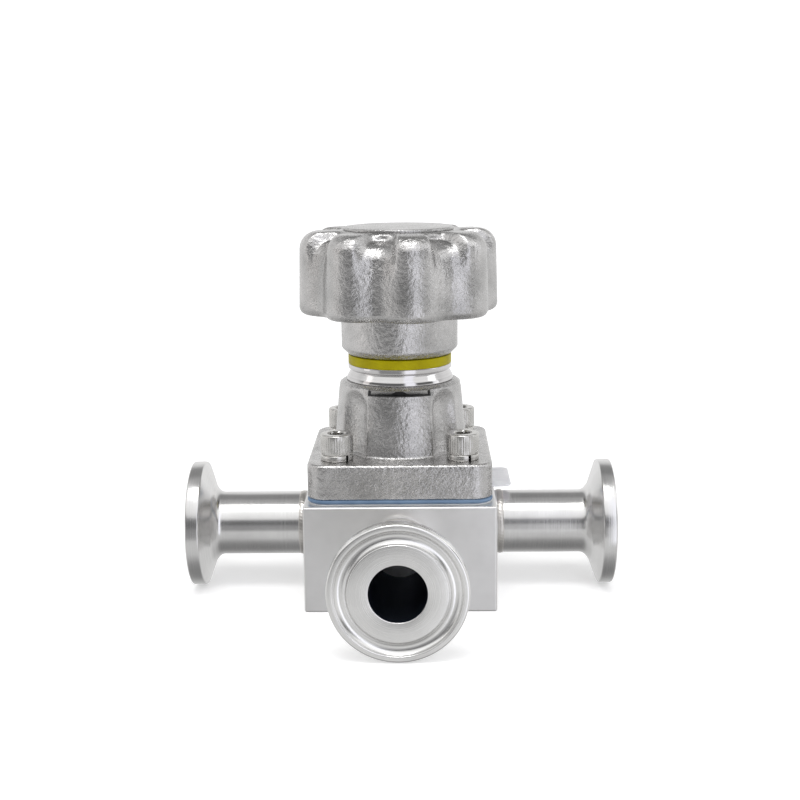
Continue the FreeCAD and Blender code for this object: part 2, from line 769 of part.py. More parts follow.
def make_bush():
    """Threaded bush: a body in the tower, a waisted collar on it and a nose in the ring."""
    bore = "spindle_radius + running_clearance"
    seal = "(spindle_seal + seal_room)"
    seal_height = "tower_face + spindle_seal_rise"
    seal_root = f"{bore} + 2 * spindle_seal"
    outer_seal = "(bush_seal + seal_room)"
    outer_height = "tower_face - bush_seal_drop"
    return turned(
        "spindle_bush",
        [
            (bore, "bush_bottom"),
            ("bush_radius", "bush_bottom"),
            ("bush_radius", f"{outer_height} - {outer_seal}"),
            ("bush_radius - 2 * bush_seal", f"{outer_height} - {outer_seal}"),
            ("bush_radius - 2 * bush_seal", f"{outer_height} + {outer_seal}"),
            ("bush_radius", f"{outer_height} + {outer_seal}"),
            ("bush_radius", "slot_floor"),
            ("clip_groove", "slot_floor"),
            ("clip_groove", "slot_floor + slot_height"),
            ("bush_radius", "slot_floor + slot_height"),
            ("bush_radius", "tower_face"),
            ("collar_bottom", "tower_face"),
            ("collar_bottom", "tower_face + body_gap"),
            ("collar_waist + body_gap", "tower_face + collar_step"),
            ("collar_waist", "tower_face + waist_rise"),
            ("collar_top", "tower_face + waist_rise + body_gap"),
            ("collar_top", "collar_face"),
            ("nose_radius", "collar_face"),
            ("nose_radius", "collar_face + nose_height"),
            (bore, "collar_face + nose_height"),
            (bore, f"{seal_height} + {seal}"),
            (seal_root, f"{seal_height} + {seal}"),
            (seal_root, f"{seal_height} - {seal}"),
            (bore, f"{seal_height} - {seal}"),
        ],
    )


def make_oring(name, centre_radius, section, height):
    """O-ring."""
    ring = doc.addObject("Part::Torus", name)
    bind(ring, Radius1=centre_radius, Radius2=section)
    return place(ring, 0, 0, height)


def make_seals():
    """O-rings inside and outside the bush."""
    inner = make_oring("spindle_oring", "spindle_radius + running_clearance + spindle_seal",
                       "spindle_seal", "tower_face + spindle_seal_rise")
    outer = make_oring("bush_oring", "bush_radius - bush_seal", "bush_seal",
                       "tower_face - bush_seal_drop")
    return [inner, outer]


def make_clip():
    """Horseshoe plate in the tower's slot that holds the bush."""
    low = "slot_floor + (slot_height - clip_thickness) / 2"
    clip_half = "(slot_width / 2 - thread_clearance)"
    plate = box("clip_plate", f"-{clip_half}", "-clip_front", low,
                f"2 * {clip_half}", "clip_front + clip_back", "clip_thickness")
    hug = "(clip_groove + thread_clearance)"
    mouth = box("clip_mouth", f"-{hug}", 0, low, f"2 * {hug}", "2 * clip_back", "clip_thickness")
    hole = cylinder("clip_hole", hug, "clip_thickness", 0, 0, low)
    return cut("bush_clip", plate, fuse("clip_waste", [mouth, hole]))


def make_indicator():
    """Position ring: a band on the collar and a sleeve that the rising hub uncovers."""
    return turned(
        "indicator_ring",
        [
            ("nose_radius", "collar_face"),
            ("collar_top", "collar_face"),
            ("collar_top", "collar_face + ring_height"),
            ("sleeve_outer", "collar_face + ring_height"),
            ("sleeve_outer", "collar_face + ring_height + sleeve_height"),
            ("sleeve_inner", "collar_face + ring_height + sleeve_height"),
            ("sleeve_inner", "collar_face + ring_height"),
            ("nose_radius", "collar_face + ring_height"),
        ],
    )


# ---------------------------------------------------------------- handwheel


def make_wheel_envelope():
    """Turned outside of the wheel with its round edges."""
    body = turned(
        "wheel_envelope",
        [
            ("0", "wheel_bottom"),
            ("wheel_tip", "wheel_bottom"),
            ("wheel_tip", "wheel_top"),
            ("0", "wheel_top"),
        ],
    )
    shape = body.Tip.Shape
    body_fillet(body, "wheel_top_round", level_edge(shape.BoundBox.ZMax))
    body_fillet(body, "wheel_foot_round", level_edge(shape.BoundBox.ZMin))
    return body


def make_wheel_outline():
    """Eight lobes that stand out from a disc, which is the floor of the flutes."""
    pieces = [cylinder("flute_floor", "flute_valley", "wheel_height", 0, 0, "wheel_bottom")]
    for number in range(8):
        angle = f"(wheel_turn + {45 * number})"
        pieces.append(cylinder(f"lobe_{number}", "lobe_radius", "wheel_height",
                               f"lobe_offset * cos({angle})", f"lobe_offset * sin({angle})",
                               "wheel_bottom"))
    return fuse("wheel_outline", pieces)


def make_handwheel():
    """Lobed wheel, hollow underneath, with the nut's recess through its roof."""
    rim = common("wheel_rim", [make_wheel_envelope(), make_wheel_outline()])
    waste = fuse(
        "wheel_waste",
        [
            cylinder("wheel_hollow", "flute_valley - wheel_wall", "wheel_height - wheel_roof",
                     0, 0, "wheel_bottom"),
            cylinder("roof_hole", "nut_recess", "wheel_height", 0, 0, "wheel_bottom"),
        ],
    )
    return cut("handwheel", rim, waste)


def make_handwheel_hub():
    """Skirted hub that carries the wheel by its roof, keyed to the spindle."""
    hub = turned(
        "wheel_hub",
        [
            ("0", "hub_bottom"),
            ("hub_radius - hub_chamfer", "hub_bottom"),
            ("hub_radius", "hub_bottom + hub_chamfer"),
            ("hub_radius", "wheel_top - wheel_roof"),
            ("0", "wheel_top - wheel_roof"),
        ],
    )
    waste = fuse(
        "hub_waste",
        [
            cylinder("skirt_room", "skirt_inner", "skirt_height", 0, 0, "hub_bottom"),
            cylinder("shoulder_room", "spindle_radius", "shoulder - hub_bottom", 0, 0,
                     "hub_bottom"),
            cylinder("seat_bore", "seat_radius", "wheel_top - hub_bottom", 0, 0, "hub_bottom"),
            cylinder("nut_room", "nut_recess", "recess_depth", 0, 0, "recess_floor"),
            make_key("wheel_keyway"),
        ],
    )
    return cut("handwheel_hub", hub, waste)


def make_wheel_fixings():
    """Key, washer, nut and cap."""
    key = make_key("handwheel_key")
    flat = cut(
        "handwheel_washer",
        cylinder("nut_washer_disc", "nut_washer_radius", "nut_washer", 0, 0, "recess_floor"),
        cylinder("nut_washer_hole", "seat_radius", "nut_washer", 0, 0, "recess_floor"),
    )
    seat = "recess_floor + nut_washer"
    blank = doc.addObject("Part::Prism", "nut_blank")
    blank.Polygon = 6
    bind(blank, Circumradius="nut_flats / sqrt(3)", Height="nut_height")
    place(blank, 0, 0, seat)
    nut = cut("handwheel_nut", blank,
              cylinder("nut_hole", "seat_radius", "nut_height", 0, 0, seat))
    cap = turned(
        "handwheel_cap",
        [
            ("0", "wheel_top - cap_plug"),
            ("nut_recess", "wheel_top - cap_plug"),
            ("nut_recess", "wheel_top"),
            ("cap_radius", "wheel_top"),
            ("cap_radius", "wheel_top + cap_height"),
            ("0", "wheel_top + cap_height"),
        ],
    )
    body_fillet(cap, "cap_round", level_edge(cap.Tip.Shape.BoundBox.ZMax))
    return [key, flat, nut, cap]


# ---------------------------------------------------------------- assembly


def make_everything():
    """Every node of the valve, in the order it goes together."""
    nodes = [
        make_valve_body(),
        make_ferrule("ferrule_right", "run_half", "run_half", 0, TO_LEFT),
        make_ferrule("ferrule_left", "run_half", "-run_half", 0, TO_RIGHT),
        make_ferrule("ferrule_front", "front_reach", 0, "-front_reach", TO_BACK),
    ]
    nodes += make_diaphragm()
    nodes += [make_stud(), make_compressor(), make_pins("compressor_pins")]
    nodes += [make_thrust_washer(), make_bonnet()]
    nodes += make_fasteners()
    nodes += [make_spindle(), make_stop_ring(), make_bush()]
    nodes += make_seals()
    nodes += [make_clip(), make_indicator(), make_handwheel(), make_handwheel_hub()]
    nodes += make_wheel_fixings()
    return nodes


def check(nodes):
    """Stop if any object failed, or any node has no valid shape."""
    failed = [o.Name for o in doc.Objects if {"Invalid", "Error"} & set(o.State)]
    bad = [n.Label for n in nodes if n.Shape.isNull() or not n.Shape.isValid()]
    if failed or bad:
        raise RuntimeError(f"failed objects: {failed}; bad shapes: {bad}")


def export(nodes):
    """Write one file per node."""
    os.makedirs("parts", exist_ok=True)
    for node in nodes:
        node.Shape.exportStep(f"parts/{node.Label}.step")
        print(f"{node.Label:20s} {len(node.Shape.Solids)} solids {node.Shape.Volume:10.1f} mm3")


fill_sheet()
NODES = make_everything()
doc.recompute()
check(NODES)
export(NODES)
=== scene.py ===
"""Looks of a hand-operated three-way diaphragm valve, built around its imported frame.

Sizes are millimetres, and meshes are made in metres. Heights come from the frame's nodes.
"""

import logging
import math
from collections.abc import Callable
from dataclasses import dataclass, field
from enum import Enum

import bmesh
import bpy
from mathutils import Matrix, Vector


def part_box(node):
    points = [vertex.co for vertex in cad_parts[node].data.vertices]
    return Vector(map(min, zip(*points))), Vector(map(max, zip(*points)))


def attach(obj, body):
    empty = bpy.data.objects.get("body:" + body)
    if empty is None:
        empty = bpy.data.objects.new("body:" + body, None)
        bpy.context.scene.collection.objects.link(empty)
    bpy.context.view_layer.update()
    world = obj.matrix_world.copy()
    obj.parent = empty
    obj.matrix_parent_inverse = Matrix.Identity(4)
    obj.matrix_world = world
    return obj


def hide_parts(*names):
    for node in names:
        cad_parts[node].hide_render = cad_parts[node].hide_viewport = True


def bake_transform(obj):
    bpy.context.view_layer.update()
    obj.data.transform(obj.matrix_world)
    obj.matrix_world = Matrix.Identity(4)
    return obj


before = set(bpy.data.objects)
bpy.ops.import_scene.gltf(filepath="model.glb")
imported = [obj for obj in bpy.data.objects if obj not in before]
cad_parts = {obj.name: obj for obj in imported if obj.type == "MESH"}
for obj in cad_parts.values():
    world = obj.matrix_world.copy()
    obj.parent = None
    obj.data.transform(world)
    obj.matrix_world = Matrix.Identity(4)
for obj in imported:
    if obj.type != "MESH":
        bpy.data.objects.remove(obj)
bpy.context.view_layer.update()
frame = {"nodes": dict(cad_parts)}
MM = 0.001
TINY = 1e-4
FULL_TURN = 2.0 * math.pi
LOG = logging.getLogger("valve")


class Body(Enum):
    """The moving groups of the valve."""

    VALVE = "valve"
    LIFT = "lift"
    WHEEL = "wheel"


class Axis(Enum):
    """The line that a turned piece or a turned finish runs round."""

    X = (1.0, 0.0, 0.0)
    Y = (0.0, 1.0, 0.0)
    Z = (0.0, 0.0, 1.0)


# ---------------------------------------------------------------- places from the frame


@dataclass(frozen=True)
class Levels:
    """Heights and half widths read from the frame, in millimetres."""

    block_top: float
    plate_half: float
    flange_bottom: float
    flange_top: float
    tower_face: float
    collar_face: float
    ring_top: float
    hub_bottom: float
    wheel_top: float
    cap_top: float
    port_height: float
    spigot_face: float
    run_half: float
    front_reach: float
    screw_arm: float
    screw_top: float
    screw_foot: float
    head_seat: float
    bush_foot: float
    dish_floor: float

    @classmethod
    def from_frame(cls) -> "Levels":
        """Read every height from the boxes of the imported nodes."""

        def low(node: str, axis: int = 2) -> float:
            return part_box(node)[0][axis] / MM

        def high(node: str, axis: int = 2) -> float:
            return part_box(node)[1][axis] / MM

        return cls(
            block_top=high("valve_body"),
            plate_half=high("bonnet", 0),
            flange_bottom=low("bonnet"),
            flange_top=low("lock_washers"),
            tower_face=high("bonnet"),
            collar_face=low("indicator_ring"),
            ring_top=high("indicator_ring"),
            hub_bottom=low("handwheel_hub"),
            wheel_top=high("handwheel"),
            cap_top=high("handwheel_cap"),
            port_height=(low("ferrule_right") + high("ferrule_right")) / 2.0,
            spigot_face=high("valve_body", 0),
            run_half=high("ferrule_right", 0),
            front_reach=-low("ferrule_front", 1),
            screw_arm=high("bonnet_screws", 0) - Screws.head_radius,
            screw_top=high("bonnet_screws"),
            screw_foot=low("bonnet_screws"),
            head_seat=high("lock_washers"),
            bush_foot=low("spindle_bush"),
            dish_floor=low("diaphragm_face"),
        )


# ---------------------------------------------------------------- outlines


@dataclass
class Outline:
    """Half section of a turned piece: radius and height pairs, with round corners."""

    points: list[tuple[float, float]] = field(default_factory=list)

    @classmethod
    def cornered(
        cls, corners: list[tuple[float, float, float]], closed: bool = True, segments: int = 6
    ) -> "Outline":
        """Round the corners of a polygon.

        Args:
            corners: radius, height and rounding radius of each corner.
            closed: whether the last corner joins the first.
            segments: straight pieces in each round corner.

        Returns:
            The outline with its arcs filled in.
        """
        out: list[tuple[float, float]] = []
        count = len(corners)
        for n, (r, z, size) in enumerate(corners):
            inner = closed or 0 < n < count - 1
            if size <= 0.0 or not inner:
                out.append((r, z))
                continue
            here = Vector((r, z))
            before = Vector(corners[n - 1][:2]) - here
            after = Vector(corners[(n + 1) % count][:2]) - here
            half = before.angle(after) / 2.0
            reach = min(size / math.tan(half), 0.48 * before.length, 0.48 * after.length)
            first = here + before.normalized() * reach
            last = here + after.normalized() * reach
            radius = reach * math.tan(half)
            middle = here + (before.normalized() + after.normalized()).normalized() * (
                radius / math.sin(half)
            )
            start = first - middle
            sweep = start.angle_signed(last - middle)
            for k in range(segments + 1):
                turned = Matrix.Rotation(-sweep * k / segments, 2) @ start
                out.append(tuple(middle + turned))
        return cls(out)

    def dense(self, step: float) -> "Outline":
        """Split long straight stretches.

        Args:
            step: longest stretch left whole.

        Returns:
            The same outline with more points on its long stretches.
        """
        out: list[tuple[float, float]] = []
        count = len(self.points)
        for n, point in enumerate(self.points):
            here = Vector(point)
            there = Vector(self.points[(n + 1) % count])
            pieces = max(1, math.ceil((there - here).length / step))
            for k in range(pieces):
                out.append(tuple(here.lerp(there, k / pieces)))
        return Outline(out)


def arc(centre: tuple[float, float], radius: float, start: float, end: float, count: int
        ) -> list[tuple[float, float, float]]:
    """Corners along an arc, with no rounding of their own.

    Args:
        centre: radius and height of the arc's centre.
        radius: radius of the arc.
        start: first angle in degrees from the outward direction.
        end: last angle in degrees.
        count: number of corners.

    Returns:
        Corners for Outline.cornered.
    """
    angles = [math.radians(start + (end - start) * k / (count - 1)) for k in range(count)]
    return [
        (centre[0] + radius * math.cos(a), centre[1] + radius * math.sin(a), 0.0) for a in angles
    ]


def smooth_step(low: float, high: float, value: float) -> float:
    """Rise smoothly from 0 at low to 1 at high."""
    share = min(max((value - low) / (high - low), 0.0), 1.0)
    return share * share * (3.0 - 2.0 * share)


def smooth_min(a: float, b: float, blend: float) -> float:
    """Take the lower of two values, rounded where they meet."""
    share = max(blend - abs(a - b), 0.0) / blend
    return min(a, b) - share * share * blend * 0.25


def square_reach(angle: float, half: float, corner: float) -> float:
    """Distance from the axis to the edge of a square with round corners.

    Args:
        angle: direction in radians.
        half: half the square's width.
        corner: radius of its corners.

    Returns:
        The distance along that direction.
    """
    x, y = abs(math.cos(angle)), abs(math.sin(angle))
    flat = half / max(x, y)
    inner = half - corner
    if min(x, y) * flat <= inner:
        return flat
    along = inner * (x + y)
    return along + math.sqrt(max(along * along - 2.0 * inner * inner + corner * corner, 0.0))


# ---------------------------------------------------------------- mesh tools

Shift = Callable[[float, float, float], tuple[float, float]]


def turn_mesh(
    outline: Outline, steps: int, shift: Shift | None = None, angle: float = FULL_TURN
) -> bmesh.types.BMesh:
    """Spin a closed half section round Z.

    Args:
        outline: the half section, in millimetres.
        steps: pieces in the whole turn.
        shift: moves a point, given radius, height and angle, to a new radius and height.
        angle: how far to spin, in radians.

    Returns:
        A closed mesh in millimetres.
    """
    bm = bmesh.new()
    ring = [bm.verts.new((r, 0.0, z)) for r, z in outline.points]
    for n, vert in enumerate(ring):
        bm.edges.new((vert, ring[(n + 1) % len(ring)]))
    whole = abs(angle - FULL_TURN) < 1e-9
    bmesh.ops.spin(
        bm, geom=bm.verts[:] + bm.edges[:], cent=(0, 0, 0), axis=(0, 0, 1),
        angle=angle, steps=steps, use_merge=whole, use_duplicate=False,
    )
    bmesh.ops.remove_doubles(bm, verts=bm.verts[:], dist=1e-5)
    bmesh.ops.dissolve_degenerate(bm, edges=bm.edges[:], dist=1e-6)
    if not whole:
        bmesh.ops.holes_fill(bm, edges=[e for e in bm.edges if e.is_boundary], sides=0)
    if shift:
        for vert in bm.verts:
            radius = math.hypot(vert.co.x, vert.co.y)
            if radius < 1e-6:
                continue
            around = math.atan2(vert.co.y, vert.co.x)
            new_radius, height = shift(radius, vert.co.z, around)
            vert.co.x *= new_radius / radius
            vert.co.y *= new_radius / radius
            vert.co.z = height
    bmesh.ops.recalc_face_normals(bm, faces=bm.faces[:])
    return bm


def finish_mesh(
    bm: bmesh.types.BMesh, name: str, place: Matrix | None = None, sharp: float = 38.0
) -> bpy.types.Object:
    """Make a piece from a mesh in millimetres, at the origin and unscaled.

    Args:
        bm: the mesh, which is freed.
        name: the piece's name.
        place: where it goes, in millimetres.
        sharp: edges that turn more than this many degrees stay crisp.

    Returns:
        The new piece.
    """
    bmesh.ops.transform(bm, matrix=Matrix.Scale(MM, 4) @ (place or Matrix()), verts=bm.verts[:])
    for face in bm.faces:
        face.smooth = True
    limit = math.radians(sharp)
    for edge in bm.edges:
        edge.smooth = edge.calc_face_angle(0.0) < limit
    mesh = bpy.data.meshes.new(name)
    bm.to_mesh(mesh)
    bm.free()
    piece = bpy.data.objects.new(name, mesh)
    bpy.context.scene.collection.objects.link(piece)
    return piece


def join_meshes(parts: list[bmesh.types.BMesh]) -> bmesh.types.BMesh:
    """Put several meshes into one.

    Args:
        parts: meshes, all but the first of which are freed.

    Returns:
        The first mesh, holding them all.
    """
    first = parts[0]
    for other in parts[1:]:
        carrier = bpy.data.meshes.new("carrier")
        other.to_mesh(carrier)
        other.free()
        first.from_mesh(carrier)
        bpy.data.meshes.remove(carrier)
    return first


def dress(piece: bpy.types.Object, material: bpy.types.Material) -> None:
    """Give a piece its one material."""
    piece.data.materials.clear()
    piece.data.materials.append(material)


def paint(piece: bpy.types.Object, material: bpy.types.Material,
          chosen: Callable[[Vector], bool]) -> None:
    """Give some faces a second finish.

    Args:
        piece: the piece.
        material: the second finish.
        chosen: says whether a face with this middle, in millimetres, gets it.
    """
    piece.data.materials.append(material)
    for face in piece.data.polygons:
        if chosen(face.center / MM):
            face.material_index = 1


def settle(
    piece: bpy.types.Object, body: Body, material: bpy.types.Material, slot: str, *nodes: str
) -> bpy.types.Object:
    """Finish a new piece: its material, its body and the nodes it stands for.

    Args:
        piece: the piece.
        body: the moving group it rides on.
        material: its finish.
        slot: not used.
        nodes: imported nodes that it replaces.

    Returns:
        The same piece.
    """
    dress(piece, material)
    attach(piece, body.value)
    if nodes:
        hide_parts(*nodes)
    LOG.info("%s: %d faces", piece.name, len(piece.data.polygons))
    return piece


# ---------------------------------------------------------------- finishes


class Tree:
    """Ways of laying out nodes that materials and surroundings share."""

    def __init__(self, tree: bpy.types.NodeTree) -> None:
        """Take the tree to fill."""
        self.nodes = tree.nodes
        self.links = tree.links

    def feed(self, socket: bpy.types.NodeSocket, value: object) -> None:
        """Link a socket, or set its constant, where a colour needs no opacity."""
        if isinstance(value, bpy.types.NodeSocket):
            self.links.new(value, socket)
        elif socket.type == "RGBA" and len(value) == 3:
            socket.default_value = (*value, 1.0)
        else:
            socket.default_value = value

    def add(self, kind: str, feeds: dict[object, object], **settings: object) -> bpy.types.Node:
        """Add a node.

        Args:
            kind: the node's type.
            feeds: a value or a socket for each named or numbered input.
            settings: the node's own properties.

        Returns:
            The new node.
        """
        node = self.nodes.new(kind)
        for name, value in settings.items():
            setattr(node, name, value)
        for key, value in feeds.items():
            self.feed(node.inputs[key], value)
        return node

    def math(self, operation: str, a: object, b: object = 0.0) -> bpy.types.NodeSocket:
        """Arithmetic on two sockets or numbers."""
        return self.add("ShaderNodeMath", {0: a, 1: b}, operation=operation).outputs[0]

    def spread(self, value: bpy.types.NodeSocket, low: float, high: float, new_low: float = 0.0,
               new_high: float = 1.0, curve: str = "LINEAR") -> bpy.types.NodeSocket:
        """Map one range of values to another."""
        feeds = {"Value": value, "From Min": low, "From Max": high,
                 "To Min": new_low, "To Max": new_high}
        return self.add("ShaderNodeMapRange", feeds, interpolation_type=curve).outputs["Result"]

    def mix(self, share: bpy.types.NodeSocket, a: object, b: object) -> bpy.types.NodeSocket:
        """Mix two colours, which are sockets or constants."""
        return self.add("ShaderNodeMix", {0: share, 6: a, 7: b}, data_type="RGBA").outputs[2]


class Graph(Tree):
    """A material with one principled surface."""

    def __init__(self, name: str) -> None:
        """Start a material with an empty principled surface."""
        self.material = bpy.data.materials.new(name)
        self.material.use_nodes = True
        super().__init__(self.material.node_tree)
        self.nodes.clear()
        self.surface = self.nodes.new("ShaderNodeBsdfPrincipled")
        self.add("ShaderNodeOutputMaterial", {"Surface": self.surface.outputs["BSDF"]})
        self.coords = self.nodes.new("ShaderNodeTexCoord").outputs["Object"]

    def set(self, **values: object) -> None:
        """Set or link the surface's own sockets, with _ for a space."""
        for key, value in values.items():
            self.feed(self.surface.inputs[key.replace("_", " ")], value)

    def noise(self, scale: float, detail: float = 3.0, rough: float = 0.55,
              vector: bpy.types.NodeSocket | None = None) -> bpy.types.NodeSocket:
        """Noise pattern.

        Args:
            scale: cells in a metre.
            detail: octaves.
            rough: weight of the fine octaves.
            vector: coordinates, or the object's own.

        Returns:
            The pattern's value.
        """
        feeds = {"Scale": scale, "Detail": detail, "Roughness": rough,
                 "Vector": vector or self.coords}
        return self.add("ShaderNodeTexNoise", feeds).outputs["Fac"]

    def cells(self, scale: float) -> bpy.types.NodeSocket:
        """Smooth cell pattern, with this many cells in a metre."""
        feeds = {"Scale": scale, "Smoothness": 0.6, "Vector": self.coords}
        node = self.add("ShaderNodeTexVoronoi", feeds, feature="SMOOTH_F1")
        return node.outputs["Distance"]

    def stretched(self, scale: tuple[float, float, float]) -> bpy.types.NodeSocket:
        """Object coordinates stretched along each axis."""
        feeds = {"Scale": scale, "Vector": self.coords}
        return self.add("ShaderNodeMapping", feeds).outputs["Vector"]

    def bump(self, height: bpy.types.NodeSocket, depth: float, strength: float = 1.0,
             below: bpy.types.NodeSocket | None = None) -> bpy.types.NodeSocket:
        """Surface relief.

        Args:
            height: pattern from 0 to 1.
            depth: depth of the pattern, in metres.
            strength: how much of it shows.
            below: relief that this one lies on.

        Returns:
            The new normal.
        """
        feeds = {"Distance": depth, "Strength": strength, "Height": height}
        if below:
            feeds["Normal"] = below
        return self.add("ShaderNodeBump", feeds).outputs["Normal"]

    def rings(self, axis: Axis, centre_height: float) -> bpy.types.NodeSocket:
        """Coordinates for fine turning marks round an axis.

        Args:
            axis: the axis that the piece was turned on.
            centre_height: height of the axis above the origin, in metres.

        Returns:
            A value that grows along the axis and outwards.
        """
        x, y, z = self.add("ShaderNodeSeparateXYZ", {0: self.coords}).outputs
        if axis is Axis.Z:
            along, across, other = z, x, y
        else:
            along, across = (x, y) if axis is Axis.X else (y, x)
            other = self.math("SUBTRACT", z, centre_height)
        square = self.math("ADD", self.math("POWER", across, 2.0), self.math("POWER", other, 2.0))
        return self.math("ADD", self.math("SQRT", square), along)


@dataclass(frozen=True)
class CastSteel:
    """Electropolished sand casting: bright, with a fine pebbled skin."""

    name: str = "cast_steel_skin"
    dark: tuple[float, float, float] = (0.44, 0.435, 0.43)
    light: tuple[float, float, float] = (0.62, 0.61, 0.605)
    pebble: float = 1500.0
    pebble_depth: float = 0.00015
    swell_depth: float = 0.0002
    roughness: float = 0.22

    def build(self) -> bpy.types.Material:
        """Make the material."""
        graph = Graph(self.name)
        fine = graph.noise(self.pebble * 2.2, 2.0)
        coarse = graph.noise(self.pebble * 0.62, 3.0, 0.6)
        pits = graph.cells(self.pebble * 0.55)
        cloud = graph.noise(130.0, 2.0)
        relief = graph.bump(cloud, self.swell_depth, 0.6)
        relief = graph.bump(pits, self.pebble_depth * 0.8, 0.55, relief)
        relief = graph.bump(coarse, self.pebble_depth * 1.5, 0.9, relief)
        relief = graph.bump(fine, self.pebble_depth * 0.45, 0.9, relief)
        graph.set(Metallic=1.0,
                  Base_Color=graph.mix(graph.spread(cloud, 0.3, 0.7), self.dark, self.light),
                  Roughness=graph.spread(fine, 0.3, 0.7, self.roughness - 0.06,
                                         self.roughness + 0.10),
                  Normal=relief)
        return graph.material


@dataclass(frozen=True)
class TurnedSteel:
    """Steel turned on a lathe: fine marks run round the axis."""

    name: str
    axis: Axis
    centre_height: float = 0.0
    colour: tuple[float, float, float] = (0.66, 0.65, 0.63)
    roughness: float = 0.27
    mark_depth: float = 0.000012
    pitch: float = 5200.0

    def build(self) -> bpy.types.Material:
        """Make the material."""
        graph = Graph(self.name)
        along = graph.rings(self.axis, self.centre_height)
        feeds = {"Scale": self.pitch, "Detail": 2.0, "W": along}
        lines = graph.add("ShaderNodeTexNoise", feeds, noise_dimensions="1D").outputs["Fac"]
        cloud = graph.noise(90.0, 3.0)
        shade = graph.math("ADD", graph.math("MULTIPLY", lines, 0.45),
                           graph.math("MULTIPLY", cloud, 0.55))
        dark = tuple(0.84 * c for c in self.colour)
        light = tuple(1.08 * c for c in self.colour)
        relief = graph.bump(graph.noise(260.0, 2.0), 0.00004, 0.35)
        graph.set(Metallic=1.0,
                  Base_Color=graph.mix(graph.spread(shade, 0.3, 0.7), dark, light),
                  Roughness=graph.spread(lines, 0.25, 0.75, self.roughness - 0.05,
                                         self.roughness + 0.08),
                  Normal=graph.bump(lines, self.mark_depth, 0.8, relief))
        return graph.material


@dataclass(frozen=True)
class MilledSteel:
    """Milled and then fine blasted steel: even satin with faint cutter marks."""

    name: str = "milled_steel_satin"
    dark: tuple[float, float, float] = (0.72, 0.715, 0.71)
    light: tuple[float, float, float] = (0.84, 0.835, 0.83)
    roughness: float = 0.38

    def build(self) -> bpy.types.Material:
        """Make the material."""
        graph = Graph(self.name)
        grain = graph.noise(9000.0, 2.0)
        brush = graph.noise(1.0, 3.0, 0.6, graph.stretched((350.0, 350.0, 6500.0)))
        cloud = graph.noise(70.0, 3.0)
        relief = graph.bump(graph.noise(160.0, 2.0), 0.00006, 0.3)
        relief = graph.bump(brush, 0.000012, 0.6, relief)
        graph.set(Metallic=1.0,
                  Base_Color=graph.mix(graph.spread(cloud, 0.3, 0.7), self.dark, self.light),
                  Roughness=graph.spread(brush, 0.3, 0.7, self.roughness - 0.04,
                                         self.roughness + 0.07),
                  Normal=graph.bump(grain, 0.00001, 0.5, relief))
        return graph.material


@dataclass(frozen=True)
class Moulded:
    """Rubber or plastic with a fine moulded skin."""

    name: str
    dark: tuple[float, float, float]
    light: tuple[float, float, float]
    roughness: float
    grain: float = 1800.0
    grain_depth: float = 0.00002
    glow_through: float = 0.0
    ior: float = 1.46

    def build(self) -> bpy.types.Material:
        """Make the material."""
        graph = Graph(self.name)
        graph.set(Metallic=0.0, IOR=self.ior)
        if self.glow_through:
            graph.set(Subsurface_Weight=self.glow_through, Subsurface_Scale=0.002,
                      Subsurface_Radius=(1.0, 0.9, 0.95))
        cloud = graph.noise(220.0, 3.0)
        grain = graph.noise(self.grain, 2.0)
        graph.set(Base_Color=graph.mix(graph.spread(cloud, 0.3, 0.7), self.dark, self.light),
                  Roughness=graph.spread(grain, 0.3, 0.7, self.roughness - 0.06,
                                         self.roughness + 0.06),
                  Normal=graph.bump(grain, self.grain_depth, 0.6))
        return graph.material


